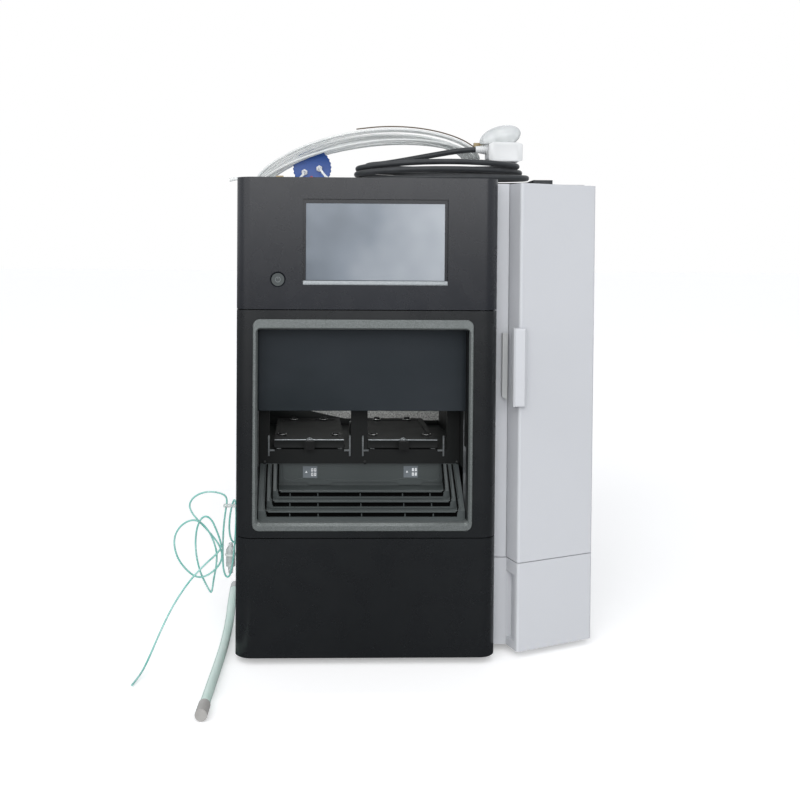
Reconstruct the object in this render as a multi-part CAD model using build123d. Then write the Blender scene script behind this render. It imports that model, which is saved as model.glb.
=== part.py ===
from build123d import *
import math
import os

os.makedirs("parts", exist_ok=True)

# Integrated liquid chromatograph, in millimetres. +Z is up, the front faces -Y,
# and the origin is on the bench under the middle of the case.
# Depths are measured back from the front plane, so depth 0 is the foremost face.

# ---- Case ----
body_width = 430.0
body_depth = 500.0
panel_height = 554.5
foot_height = 8.0
foot_radius = 14.0
foot_inset = 34.0
sheet = 1.5
plate = 2.0
fit_gap = 0.3
seam_gap = 1.0

left = -body_width / 2
right = body_width / 2
front = -body_depth / 2
base = foot_height
top = base + panel_height

# ---- Black front mouldings ----
white_width = 127.6
black_right = right - white_width
black_width = black_right - left
panel_wall = 3.0
panel_setback = 0.8
panel_reach = 40.0
panel_flange = 15.0
edge_width = 19.0
edge_drop = 13.0
lower_panel_height = 139.2
sampler_panel_height = 263.4
lower_seam = base + lower_panel_height
upper_seam = lower_seam + sampler_panel_height

# ---- Screen and power button ----
screen_from_left = 79.35
screen_from_right = 62.75
screen_above = 29.4
screen_below = 33.7
screen_width = black_width - screen_from_left - screen_from_right
screen_height = top - screen_above - upper_seam - screen_below
screen_x = left + screen_from_left + screen_width / 2
screen_z = top - screen_above - screen_height / 2
screen_glass = 1.2
module_depth = 9.0
module_margin = 6.0
recess_side = 3.3
recess_above = 4.6
ledge_height = 5.2
recess_depth = 2.4
button_radius = 7.35
button_ring = 10.0
button_x = left + 47.6
button_z = upper_seam + 34.6
button_travel = 1.5
button_length = 9.0

# ---- Window trim ----
trim_from_left = 19.3
trim_from_right = 28.9
trim_from_top = 11.0
trim_from_low = 8.1
trim_width = black_width - trim_from_left - trim_from_right
trim_height = sampler_panel_height - trim_from_top - trim_from_low
trim_x = left + trim_from_left + trim_width / 2
trim_z = lower_seam + trim_from_low + trim_height / 2
trim_radius = 8.0
trim_side = 5.8
trim_top = 12.1
trim_bottom = 8.6
trim_depth = 12.0
trim_bevel = 2.5
trim_bevel_depth = 4.0
window_radius = 3.5
window_left = trim_x - trim_width / 2 + trim_side
window_right = trim_x + trim_width / 2 - trim_side
window_low = trim_z - trim_height / 2 + trim_bottom
window_high = trim_z + trim_height / 2 - trim_top

# ---- Sliding smoked door ----
visor_depth = 24.0
visor_thick = 3.0
visor_hidden = 75.0
visor_low = window_low + 126.6
visor_height = window_high - visor_low + visor_hidden
visor_overlap = 6.0
visor_travel = 38.0
guide_lip = 3.0
guide_width = 11.0
guide_spare = 4.0
front_plate_depth = 31.0

# ---- Sampler bay ----
shelf_thick = 17.2
shelf_high = window_low + 73.7
shelf_low = shelf_high - shelf_thick
bay_front = 60.0
bay_back = 232.0
bay_wall = 2.0
post_depth = 8.0
left_post_width = 12.0
right_post_width = 14.7
centre_post_width = 20.0
centre_post_left = (window_left + window_right) / 2 - 10.4
centre_post_right = centre_post_left + centre_post_width
right_post_left = window_right - right_post_width
insulation_thick = 8.0

# ---- Rack trays ----
tray_clear = 13.4
tray_width = centre_post_left - window_left - left_post_width - tray_clear
tray_length = 150.0
tray_top = shelf_high + 10.9
tray_plate = 3.0
tray_front = 62.0
tray_left_x = centre_post_left - 7.95 - tray_width / 2
tray_right_x = centre_post_right + 0.65 + tray_width / 2
rail_width = 5.0
rail_inset = 3.0
dome_radius = 4.0
dome_height = 3.0
dome_front_pitch = 67.8
dome_back_pitch = 41.0
dome_front_depth = 35.0
dome_back_depth = 139.0
knob_width = 8.0
knob_reach = 9.0
knob_drop = 7.0
tab_gap = 5.5
tab_thick = 1.8
tab_foot = 6.0
tab_rise = 6.0

# ---- Needle unit ----
needle_rail_depth = bay_back - 27.0
needle_rail_z = window_high - 13.5
needle_rail_radius = 5.0
arm_width = 26.0
arm_reach = 70.0
arm_height = 34.0
needle_radius = 0.8
needle_tip = tray_top + 55.5
port_radius = 9.0
port_height = 22.0
port_bore = 1.5

# ---- Stepped apron ----
step_count = 3
step_front = trim_depth + fit_gap
step_depth = 14.0
step_rise = 8.2
step_low = window_low - 0.4
first_step_extra = 3.7
top_tread_extra = 14.0
step_round = 5.0
step_in_left = 6.8
step_in_right = 6.0
step_wall = 2.4
slot_height = 3.2
rib_setback = 1.2
lip_height = 1.3
rib_width = 1.6
rib_shares = (-0.33, -0.2, 0.0, 0.2, 0.33)
lip_reach = 1.2
apron_gap = 0.6
inner_plate_low = 4.0
inner_plate_thick = 2.0
tab_width = 34.0
tab_pitch = trim_width * 0.435
tab_drop = 3.0
tab_left_x = trim_x - tab_pitch / 2 + 6.85
tab_right_x = tab_left_x + tab_pitch

# ---- White right-hand section, in plan ----
jamb_left = black_right + 1.3
jamb_depth = 37.0
flank_x = right - 108.2
corner_x = right - 99.7
corner_depth = 14.0
side_depth = 52.6
door_wall = 2.5
door_back = 58.0
door_top = top - 3.0
door_low = base + 105.0
corner_radius = 3.0
shoulder_radius = 4.0
hinge_x = right - 4.0
hinge_depth = 66.0
hinge_radius = 4.0
pin_radius = 2.0
pin_fit = 0.05
pin_bearing = 9.0
hinge_tab = 3.0
hinge_clear = 0.5
cover_front = 72.0

# ---- Door grip and latch ----
grip_low = base + 289.8
grip_height = 92.0
grip_width = 15.6
grip_left = flank_x
grip_right = grip_left + grip_width
grip_front = 7.0
grip_back = 19.0
grip_round = 2.5
latch_low = base + 293.9
latch_height = 80.2
latch_left = flank_x - 8.1
latch_right = flank_x + 1.4
latch_front = 31.0

# ---- Lower right cover pocket ----
pocket_low = base + 10.0
pocket_high = base + 89.0
pocket_deep = 9.0

# ---- Column oven ----
oven_left = jamb_left + 4.0
oven_right = right - 11.0
oven_low = door_low + 11.0
oven_high = top - 12.5
oven_front = 62.0
oven_back = 232.0
oven_wall = 3.0
oven_shelf_z = base + 222.0
column_radius = 3.2
fitting_radius = 5.5
fitting_length = 16.0
column_x = right - 83.0
column_depth = 150.0
column_low = oven_shelf_z + 28.0
column_length = oven_high - column_low - 42.0
clip_width = 12.0
heater_width = 40.0

# ---- Detector flow cell ----
cell_width = 74.0
cell_height = 62.0
cell_depth_front = 96.0
cell_x = right - 69.0
cell_z = base + 168.0
cell_knob_radius = 7.0
cell_knob_length = 12.0
detector_back = body_depth - 60.0

# ---- Pump compartment ----
pump_from_left = 120.0
pump_from_right = 32.4
pump_width = black_width - pump_from_left - pump_from_right
pump_x = black_right - pump_from_right - pump_width / 2
pump_height = 112.0
pump_front = 95.0
pump_back = 300.0
head_radius = 21.0
head_length = 34.0
head_pitch = 62.0
knob_radius = 10.0
knob_length = 12.0
knob_stem = 3.0
purge_height = 24.0
purge_reach = 10.0
degasser_x = left + 65.0
degasser_width = 84.0
degasser_height = 90.0
degasser_back = 290.0

# ---- Electronics and rear ----
board_thick = 1.6
board_left = left + 45.0
board_right = black_right - 37.4
board_front = 110.0
board_back = body_depth - 180.0
board_edge = 10.0
standoff = 5.0
board_chips = ((0.32, 0.29, 30, 4), (0.64, 0.43, 22, 3), (0.77, 0.19, 14, 9), (0.14, 0.71, 18, 12))
supply_width = 110.0
supply_depth = 136.0
supply_back = body_depth - 24.0
supply_height = 60.0
rear_plate = 1.5
rear_margin = 4.0
fan_radius = 38.0
fan_frame_depth = 25.0
fan_hub = 15.0
fan_x = right - 78.0
fan_z = base + 380.0
fan_blades = 7
blade_gap = 1.2
vent_rows = 8
vent_pitch = 14.0
vent_length = 90.0
vent_height = 5.0
vent_x = left + 105.0
vent_z = base + 380.0
inlet_x = left + 65.0
inlet_z = base + 70.0
inlet_width = 30.0
inlet_height = 22.0
inlet_depth = 18.0
inlet_flange = 8.0
pin_gap = 7.0
switch_x = left + 115.0
switch_width = 19.0
switch_height = 13.0
switch_pivot = 5.5
switch_tilt = 12.0

# ---- Plumbing on the left side ----
drain_z = base + 16.0
drain_depth = 190.0
hose_radius = 5.5
elbow_reach = 14.0
sleeve_radius = 6.4
sleeve_length = 22.0
tube_radius = 1.0
tube_port_z = base + 115.0
tube_port_depth = 58.0
tube_port_radius = 11.0

# ---- Loose coils ----
coil_width = 39.0
coil_height = 64.5
coil_thick = 24.0
cord_x = 36.0
cord_depth = 113.0
cord_half_width = 120.0
cord_half_depth = 48.0
cord_height = 31.0
plug_length = 44.0
plug_width = 30.0
plug_height = 34.0
bundle_low_height = 45.0
bundle_height = 77.0


def y_at(depth):
    return front + depth


def block(x_low, x_high, near, far, z_low, z_high):
    middle = ((x_low + x_high) / 2, y_at((near + far) / 2), (z_low + z_high) / 2)
    return Pos(*middle) * Box(x_high - x_low, far - near, z_high - z_low)


def upright(x, depth, z_low, z_high, radius):
    return Pos(x, y_at(depth), (z_low + z_high) / 2) * Cylinder(radius, z_high - z_low)


def along_depth(x, z, near, far, radius):
    middle = Pos(x, y_at((near + far) / 2), z)
    return middle * Rot(90, 0, 0) * Cylinder(radius, far - near)


def along_width(x_low, x_high, depth, z, radius):
    middle = Pos((x_low + x_high) / 2, y_at(depth), z)
    return middle * Rot(0, 90, 0) * Cylinder(radius, x_high - x_low)


def front_solid(sketch, near, far):
    """Extrudes a sketch drawn as seen from the front, X to the right and Z up."""
    plane = Plane(origin=(0, y_at(near), 0), x_dir=(1, 0, 0), z_dir=(0, -1, 0))
    return extrude(plane * sketch, -(far - near))


def plan_face(points):
    outline = [(x, y_at(depth)) for x, depth in points]
    return make_face(Polyline(*outline, close=True))


def plan_solid(points, z_low, z_high):
    return Pos(0, 0, z_low) * extrude(plan_face(points), z_high - z_low)


def window(width, height, radius, x, z):
    return Pos(x, z) * RectangleRounded(width, height, radius)


def save(solid, name):
    export_step(solid, f"parts/{name}.step")


# ---- Black front mouldings ----

def black_face(inset):
    """Plan outline of a black panel, pulled in by an inset on every side."""
    low, high = left + inset, black_right - inset
    near, reach = panel_setback + inset, panel_reach
    drop = panel_setback + edge_drop
    bow_x, bow_depth = 0.36 * edge_width, 0.30 * edge_drop
    with_left = ThreePointArc(
        (low, y_at(drop)),
        (low + bow_x, y_at(near + bow_depth)),
        (low + edge_width, y_at(near)),
    )
    face_line = Line((low + edge_width, y_at(near)), (high - edge_width, y_at(near)))
    with_right = ThreePointArc(
        (high - edge_width, y_at(near)),
        (high - bow_x, y_at(near + bow_depth)),
        (high, y_at(drop)),
    )
    back = Polyline(
        (high, y_at(drop)), (high, y_at(reach)), (low, y_at(reach)), (low, y_at(drop))
    )
    return make_face(with_left + face_line + with_right + back)


def black_shell(z_low, z_high, closed_top=False, closed_floor=False):
    """Moulded cover open at the back, its flanges shallow unless they are closed."""
    outer = Pos(0, 0, z_low) * extrude(black_face(0), z_high - z_low)
    hollow_height = z_high - z_low - 2 * panel_wall
    inner = Pos(0, 0, z_low + panel_wall) * extrude(black_face(panel_wall), hollow_height)
    open_low = z_low + panel_wall if closed_floor else z_low
    open_high = z_high - panel_wall if closed_top else z_high
    behind_flange = block(
        left + panel_wall, black_right - panel_wall,
        panel_flange, panel_reach, open_low, open_high,
    )
    return outer - inner - behind_flange


def display_bezel():
    low = upper_seam + seam_gap / 2
    shell = black_shell(low, top, closed_top=True)
    backing_near = panel_setback + panel_wall
    backing_far = backing_near + panel_wall
    backing = block(
        screen_x - screen_width / 2 - module_margin, screen_x + screen_width / 2 + module_margin,
        backing_near, backing_far,
        screen_z - screen_height / 2 - module_margin - ledge_height,
        screen_z + screen_height / 2 + module_margin + recess_above,
    )
    recess_z = screen_z + (recess_above - ledge_height) / 2
    recess = front_solid(
        window(
            screen_width + 2 * recess_side, screen_height + recess_above + ledge_height,
            1.0, screen_x, recess_z,
        ),
        0, panel_setback + recess_depth,
    )
    opening = front_solid(
        window(screen_width, screen_height, 0.8, screen_x, screen_z), 0, backing_far + 1
    )
    button_hole = along_depth(button_x, button_z, 0, panel_flange, button_radius + fit_gap)
    dish_depth = panel_setback + 1.6
    dish = Pos(button_x, y_at(dish_depth / 2), button_z) * Rot(90, 0, 0) * Cone(
        button_radius + fit_gap, button_ring, dish_depth
    )
    collar_far = panel_setback + panel_wall + 4
    collar = along_depth(button_x, button_z, backing_near, collar_far, button_ring + 1)
    return shell + backing + collar - recess - opening - button_hole - dish


def touch_screen():
    glass_near = panel_setback + recess_depth + fit_gap
    glass_far = panel_setback + 2 * panel_wall
    glass = front_solid(
        window(
            screen_width - 2 * fit_gap, screen_height - 2 * fit_gap, 0.6, screen_x, screen_z
        ),
        glass_near, glass_far,
    )
    module = block(
        screen_x - screen_width / 2 - module_margin, screen_x + screen_width / 2 + module_margin,
        glass_far, glass_far + module_depth,
        screen_z - screen_height / 2 - module_margin,
        screen_z + screen_height / 2 + module_margin,
    )
    return glass + module


def screen_ledge():
    """Bright sloped sill under the screen."""
    half = screen_width / 2 + recess_side - fit_gap
    low = screen_z - screen_height / 2 - ledge_height + fit_gap
    near = panel_setback + 0.2
    far = panel_setback + recess_depth
    high = low + ledge_height - 2 * fit_gap
    profile = Plane.YZ * make_face(
        Polyline(
            (y_at(near), low), (y_at(far), low), (y_at(far), high),
            (y_at(far) - 0.8, high), (y_at(near), low + 1.2), close=True,
        )
    )
    return Pos(screen_x - half, 0, 0) * extrude(profile, 2 * half)


def power_button():
    near = panel_setback + 0.6
    cap = along_depth(button_x, button_z, near, near + button_length, button_radius)
    dish = Pos(button_x, y_at(near), button_z) * Rot(90, 0, 0) * Cylinder(button_radius - 1.6, 0.8)
    cap = cap - dish
    return cap


def power_switch():
    near = panel_setback + 0.6 + button_length + button_travel + fit_gap
    body = block(
        button_x - 7, button_x + 7, near, near + 8, button_z - 7, button_z + 7
    )
    bracket = block(
        button_x - 16, button_x + 16, near + 8, near + 8 + plate, button_z - 9, button_z + 9
    )
    legs = [
        block(
            button_x + side * 14 - 2, button_x + side * 14 + 2,
            panel_setback + panel_wall, near + 8, button_z - 9, button_z + 9,
        )
        for side in (-1, 1)
    ]
    return body + bracket + legs


def sampler_bezel():
    shell = black_shell(lower_seam + seam_gap / 2, upper_seam - seam_gap / 2)
    hole = window(
        trim_width + 2 * fit_gap, trim_height + 2 * fit_gap, trim_radius + fit_gap, trim_x, trim_z
    )
    return shell - front_solid(hole, 0, panel_flange + 1)


def window_trim():
    ring = front_solid(window(trim_width, trim_height, trim_radius, trim_x, trim_z), 0, trim_depth)
    ring = chamfer(ring.faces().sort_by(Axis.Y)[0].outer_wire().edges(), 0.9)
    inner_width = trim_width - 2 * trim_side
    inner_height = trim_height - trim_top - trim_bottom
    inner_z = trim_z + (trim_bottom - trim_top) / 2
    plane_near = Plane(origin=(trim_x, y_at(0), inner_z), x_dir=(1, 0, 0), z_dir=(0, -1, 0))
    plane_far = plane_near.offset(-trim_bevel_depth)
    mouth = plane_near * RectangleRounded(
        inner_width + 2 * trim_bevel, inner_height + 2 * trim_bevel, window_radius + trim_bevel
    )
    throat = plane_far * RectangleRounded(inner_width, inner_height, window_radius)
    taper = loft([mouth, throat])
    straight = front_solid(
        window(inner_width, inner_height, window_radius, trim_x, inner_z),
        trim_bevel_depth, trim_depth,
    )
    return ring - taper - straight


def lower_front_cover():
    return black_shell(base, lower_seam - seam_gap / 2, closed_floor=True)


# ---- Sliding door and its guides ----

def sampler_door():
    pane = block(
        window_left - visor_overlap, window_right + visor_overlap,
        visor_depth, visor_depth + visor_thick,
        visor_low, visor_low + visor_height,
    )
    return fillet(pane.edges().filter_by(Axis.X).group_by(Axis.Z)[0], 0.9)


def door_guides():
    low = visor_low - visor_travel - guide_spare
    high = visor_low + visor_height + guide_spare
    near = visor_depth - guide_lip
    rails = []
    for edge, way in ((window_left, -1), (window_right, 1)):
        inner = edge + way * 1.0
        outer = inner + way * guide_width
        rail = block(
            min(inner, outer), max(inner, outer), near, front_plate_depth, low, high
        )
        groove_end = edge + way * (visor_overlap + fit_gap)
        groove = block(
            min(inner, groove_end), max(inner, groove_end),
            visor_depth - fit_gap, visor_depth + visor_thick + fit_gap, low, high,
        )
        rails.append(rail - groove)
    return Compound(rails)


def front_plate():
    """Folded steel plate behind the black mouldings, with the bay window cut through."""
    side = panel_wall + fit_gap
    sheet_back = front_plate_depth + plate
    skin = block(
        left + side, black_right - side, front_plate_depth, sheet_back,
        lower_seam + panel_wall, top - panel_wall - 20,
    )
    opening = block(
        window_left - 0.6, window_right + 0.6, front_plate_depth - 1, sheet_back + 1,
        window_low - 4, window_high + 8,
    )
    return skin - opening


# ---- Stepped apron under the bay ----

def step_frame(index):
    """Left, right, bottom and nearest depth of one step of the apron."""
    low = step_low + index * step_rise + min(index, 1) * first_step_extra
    near = step_front + index * step_depth + (index // step_count) * top_tread_extra
    x_low = window_left + apron_gap + index * step_in_left
    x_high = window_right - apron_gap - index * step_in_right
    return x_low, x_high, low, near


def ribbed_slot(index):
    """Slot under the lip of one tread, crossed by thin set-back ribs."""
    x_low, x_high, _, near = step_frame(index)
    slot_high = step_frame(index + 1)[2] - lip_height
    low = slot_high - slot_height
    inset = step_in_left + 2
    slot = block(x_low + inset, x_high - inset, near - 1, near + step_wall + 0.5, low, slot_high)
    middle = (window_left + window_right) / 2
    for offset in [share * trim_width for share in rib_shares]:
        rib_left = middle + offset - rib_width / 2
        slot = slot - block(
            rib_left, rib_left + rib_width, near + rib_setback, near + step_wall + 1,
            low - 1, slot_high + 1,
        )
    return slot


def cheek_slope(index, x_low, x_high):
    """Wedge in front of a side cheek, which leans back from its tread to the shelf."""
    near = step_frame(index)[3]
    low = step_frame(index + 1)[2]
    high = shelf_low - fit_gap
    side = make_face(
        Polyline(
            (y_at(near - 2), low), (y_at(near), low), (y_at(bay_front), high),
            (y_at(bay_front), high + 1), (y_at(near - 2), high + 1), close=True,
        )
    )
    return extrude(Plane.YZ.offset(x_low) * side, x_high - x_low)


def louvre_apron():
    """Nested U-shaped steps: each has a lip, a ribbed slot under it and leaning cheeks."""
    high = shelf_low - fit_gap
    back = step_frame(step_count)[3]
    x_low, x_high, low, near = step_frame(0)
    body = block(x_low, x_high, near, back + step_wall, low, high)
    for index in range(step_count):
        x_low, x_high, low, near = step_frame(index + 1)
        room = block(x_low, x_high, step_frame(index)[3] - 1, near, low, high + 1)
        body = body - fillet(room.edges().filter_by(Axis.Y).group_by(Axis.Z)[0], step_round)
    for index in range(1, step_count):
        x_low, x_high, low, near = step_frame(index)
        body = body - block(
            x_low + step_wall, x_high - step_wall, near + step_wall, back + step_wall + 1,
            step_low - 1, step_frame(index + 1)[2] - step_wall,
        )
    for index in range(step_count):
        outer, inner = step_frame(index), step_frame(index + 1)
        body = body - cheek_slope(index, outer[0] - 1, inner[0])
        body = body - cheek_slope(index, inner[1], outer[1] + 1)
        lip_near = outer[3] - lip_reach
        body = body + block(
            inner[0] + step_round, inner[1] - step_round, lip_near, outer[3],
            inner[2] - lip_height, inner[2],
        )
        body = body - ribbed_slot(index)
    return body + inner_plate()


def inner_plate():
    """Back plate of the apron, its lower edge dropping in two arched tabs."""
    x_low, x_high, low, near = step_frame(step_count)
    high = shelf_low - fit_gap
    bottom = low + inner_plate_low
    sketch = Pos((x_low + x_high) / 2, (bottom + high) / 2) * Rectangle(
        x_high - x_low - 1, high - bottom
    )
    for tab_x in (tab_left_x, tab_right_x):
        tab = make_face(
            Polyline(
                (tab_x - tab_width / 2, bottom + 1), (tab_x - tab_width / 2 + 4, bottom - tab_drop),
                (tab_x + tab_width / 2 - 4, bottom - tab_drop), (tab_x + tab_width / 2, bottom + 1),
                close=True,
            )
        )
        sketch = sketch + fillet(tab.vertices().group_by(Axis.Y)[0], 3)
    return front_solid(sketch, near - inner_plate_thick, near)


# ---- Bay liner ----

def rack_bay():
    x_low = window_left - 0.4
    x_high = window_right + 0.4
    near = front_plate_depth + plate
    roof = window_high + 8
    liner_low = shelf_low
    shelf = block(x_low - bay_wall, x_high + bay_wall, bay_front, bay_back, liner_low, shelf_high)
    walls = [
        block(x_low - bay_wall, x_low, near, bay_back, liner_low, roof),
        block(x_high, x_high + bay_wall, near, bay_back, liner_low, roof),
    ]
    back = block(x_low - bay_wall, x_high + bay_wall, bay_back, bay_back + bay_wall, liner_low, roof)
    ceiling = block(x_low - bay_wall, x_high + bay_wall, near, bay_back + bay_wall, roof, roof + bay_wall)
    posts = [
        block(x_low, x_low + left_post_width, bay_front, bay_front + post_depth, shelf_high, roof),
        block(centre_post_left, centre_post_right, bay_front, bay_front + post_depth, shelf_high, roof),
        block(right_post_left, x_high, bay_front, bay_front + post_depth, shelf_high, roof),
    ]
    return shelf + walls + back + ceiling + posts


def insulation_panel():
    x_low, x_high = window_left - 0.4 + fit_gap, window_right + 0.4 - fit_gap
    return block(
        x_low, x_high, bay_back - insulation_thick, bay_back, shelf_high, window_high + 8 - fit_gap
    )


def rack_guides():
    """Runners under the trays and bent side tabs beside them."""
    rails = tray_stops()
    for tray_x in (tray_left_x, tray_right_x):
        for side in (-1, 1):
            middle = tray_x + side * (tray_width / 2 - rail_inset - rail_width / 2)
            rails.append(
                block(
                    middle - rail_width / 2, middle + rail_width / 2,
                    tray_front + 2, tray_front + tray_length,
                    shelf_high, tray_top - tray_plate - fit_gap,
                )
            )
    return Compound(rails)


def rack_tray(tray_x):
    """Tray plate with a rolled front edge and four locating domes."""
    low = tray_top - tray_plate
    half = tray_width / 2
    far = tray_front + tray_length
    tray = block(tray_x - half, tray_x + half, tray_front, far, low, tray_top)
    field = block(
        tray_x - half + 7, tray_x + half - 7, tray_front + 16, far - 12, tray_top - 0.8, tray_top
    )
    tray = tray - field
    places = [
        (tray_x + side * dome_front_pitch / 2, tray_front + dome_front_depth)
        for side in (-1, 1)
    ]
    for x, depth in places:
        tray = tray + upright(x, depth, low, tray_top + dome_height - 1, dome_radius)
    for side in (-1, 1):
        x = tray_x + side * dome_back_pitch / 2
        tray = tray + upright(x, tray_front + dome_back_depth, low, tray_top + dome_height, dome_radius)
    return tray


def tray_knob(tray_x):
    """Pull tab fixed to the front edge of a tray."""
    low = tray_top - tray_plate
    stem = block(
        tray_x - knob_width / 2, tray_x + knob_width / 2, tray_front - knob_reach, tray_front,
        low, tray_top,
    )
    lip = block(
        tray_x - knob_width / 2 - 2, tray_x + knob_width / 2 + 2,
        tray_front - knob_reach - 2.5, tray_front - knob_reach, low - knob_drop, tray_top,
    )
    return stem + lip


def tray_stops():
    """Bent tabs on the shelf's front edge, one each side of each tray."""
    stops = []
    near = bay_front - tab_thick
    for tray_x in (tray_left_x, tray_right_x):
        for side in (-1, 1):
            inner = tray_x + side * (tray_width / 2 + tab_gap - tab_foot)
            outer = tray_x + side * (tray_width / 2 + tab_gap)
            edge = outer + side * tab_thick
            upright_tab = block(
                min(outer, edge), max(outer, edge), near, bay_front, shelf_high - 8, tray_top + tab_rise
            )
            foot = block(
                min(inner, edge), max(inner, edge), near, bay_front, shelf_high - 2, shelf_high
            )
            stops.append(upright_tab + foot)
    return stops


# ---- Needle unit ----

def needle_rail():
    x_low = window_left - 0.4
    x_high = window_right + 0.4
    return along_width(x_low, x_high, needle_rail_depth, needle_rail_z, needle_rail_radius)


arm_x = (centre_post_left + centre_post_right) / 2


def needle_arm():
    low = needle_rail_z - arm_height / 2
    high = needle_rail_z + arm_height / 2
    far = needle_rail_depth + needle_rail_radius + 4
    carriage = block(arm_x - arm_width / 2, arm_x + arm_width / 2, far - 22, far, low, high)
    reach = block(
        arm_x - 8, arm_x + 8, needle_rail_depth - arm_reach, far - 22, needle_rail_z - 4, high
    )
    head = block(
        arm_x - 11, arm_x + 11, needle_rail_depth - arm_reach - 20,
        needle_rail_depth - arm_reach, low, high,
    )
    bore = along_width(
        arm_x - arm_width, arm_x + arm_width, needle_rail_depth, needle_rail_z,
        needle_rail_radius + pin_fit,
    )
    slide = upright(
        arm_x, needle_rail_depth - arm_reach - 10, low - 1, high + 1, 4 + pin_fit
    )
    return carriage + reach + head - bore - slide


def needle():
    depth = needle_rail_depth - arm_reach - 10
    shank_low = needle_rail_z - arm_height / 2 - 6
    shank = upright(arm_x, depth, shank_low, needle_rail_z + arm_height / 2 + 4, 4)
    tip = upright(arm_x, depth, needle_tip, shank_low, needle_radius)
    return shank + tip


def injection_port():
    depth = needle_rail_depth - arm_reach - 10
    turret = upright(arm_x, depth, shelf_high, shelf_high + port_height, port_radius)
    bore = upright(arm_x, depth, shelf_high + 4, shelf_high + port_height + 1, port_bore)
    cone = Pos(arm_x, y_at(depth), shelf_high + port_height - 2) * Cone(port_bore, port_bore + 3, 4)
    return turret - bore - cone


# ---- White right-hand section ----

def slant_depth(x):
    share = (x - corner_x) / (right - corner_x)
    return corner_depth + share * (side_depth - corner_depth)


def white_outline(inset, back_left, back_right):
    """Plan of the slanted white front, from the jamb round to the right side."""
    points = [
        (flank_x + inset, back_left),
        (flank_x + inset, jamb_depth + 0.7),
        (corner_x + inset * 0.6, corner_depth + inset * 1.3),
        (right - inset, side_depth + inset * 0.8),
        (right - inset, back_right),
        (hinge_x, back_right),
        (hinge_x - 4, back_left),
    ]
    return points


def white_face(inset, back_left, back_right):
    face = plan_face(white_outline(inset, back_left, back_right))
    corner = face.vertices().sort_by(Axis.Y)[0]
    face = fillet(corner, max(corner_radius - inset, 0.5))
    shoulder = face.vertices().sort_by_distance((right - inset, y_at(side_depth + inset * 0.8)))[0]
    return fillet(shoulder, max(shoulder_radius - inset, 0.8))


def right_door():
    height = door_top - door_low - seam_gap
    low = door_low + seam_gap / 2
    outer = Pos(0, 0, low) * extrude(white_face(0, door_back, hinge_depth), height)
    inner_face = white_face(door_wall, door_back + 5, hinge_depth - 6)
    inner = Pos(0, 0, low + door_wall) * extrude(inner_face, height - 2 * door_wall)
    inner = inner & block(flank_x, hinge_x - 6, 0, door_back + 20, low, door_top)
    shell = outer - inner
    bead_low, bead_high = low + hinge_tab + hinge_clear, door_top - hinge_tab - hinge_clear
    shell = shell + upright(hinge_x, hinge_depth, bead_low, bead_high, hinge_radius)
    for z_low, z_high in ((low - 1, bead_low), (bead_high, door_top + 1)):
        shell = shell - upright(hinge_x, hinge_depth, z_low, z_high, hinge_radius + 2.5)
    for z_low, z_high in (
        (bead_low - 1, bead_low + pin_bearing + 1), (bead_high - pin_bearing - 1, bead_high + 1)
    ):
        shell = shell - upright(hinge_x, hinge_depth, z_low, z_high, pin_radius + pin_fit)
    return shell


def door_liner():
    """Flat inner panel that closes the back of the door."""
    low = door_low + seam_gap / 2 + door_wall + fit_gap
    high = door_top - seam_gap / 2 - door_wall - fit_gap
    return block(
        flank_x + door_wall + fit_gap, hinge_x - 6 - fit_gap, door_back - 4, door_back, low, high
    )


def door_grip():
    low, high = grip_low, grip_low + grip_height
    meet = slant_depth(grip_right)
    flank_share = (grip_back - corner_depth) / (jamb_depth + 0.7 - corner_depth)
    flank_at = corner_x - flank_share * (corner_x - flank_x)
    points = [
        (grip_left, grip_front + 2), (grip_left + 2, grip_front), (grip_right - 3, grip_front),
        (grip_right, grip_front + 3), (grip_right, meet), (corner_x, corner_depth),
        (flank_at, grip_back), (grip_left, grip_back),
    ]
    bar = plan_solid(points, low, high)
    ends = bar.edges().filter_by(Axis.X).filter_by_position(Axis.Y, y_at(-1), y_at(grip_front + 1))
    return fillet(ends, grip_round)


def door_jamb():
    low = door_low + seam_gap / 2
    skin = block(jamb_left, flank_x - seam_gap / 2, jamb_depth, jamb_depth + door_wall, low, door_top)
    wing = block(jamb_left, jamb_left + door_wall, jamb_depth, cover_front, low, door_top)
    cap = block(jamb_left, flank_x - seam_gap / 2, jamb_depth, cover_front, door_top - door_wall, door_top)
    return skin + wing + cap


def latch_plate():
    body = block(
        latch_left, flank_x - 2.0, latch_front, jamb_depth, latch_low, latch_low + latch_height
    )
    cut = Pos(latch_left, y_at(latch_front), latch_low) * Rot(0, 35, 0) * Box(30, 30, 8)
    return body - cut


def right_lower_panel():
    low, high = base, door_low - seam_gap / 2
    back = cover_front - 0.5
    outer = Pos(0, 0, low) * extrude(white_face(0, back, back), high - low)
    strip = block(jamb_left, flank_x + 1, jamb_depth, jamb_depth + door_wall, low, high)
    inner_face = white_face(door_wall, back + 5, back + 5)
    inner = Pos(0, 0, low + door_wall) * extrude(inner_face, high - low - 2 * door_wall)
    lining = block(
        flank_x, corner_x + 3, corner_depth + 4, jamb_depth + 2, pocket_low - 2, pocket_high + 2
    )
    pocket = block(
        flank_x - 3, flank_x + pocket_deep - door_wall, corner_depth + 6, jamb_depth - 0.4,
        pocket_low, pocket_high,
    )
    return outer + strip - inner + (lining & outer) - pocket


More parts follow.
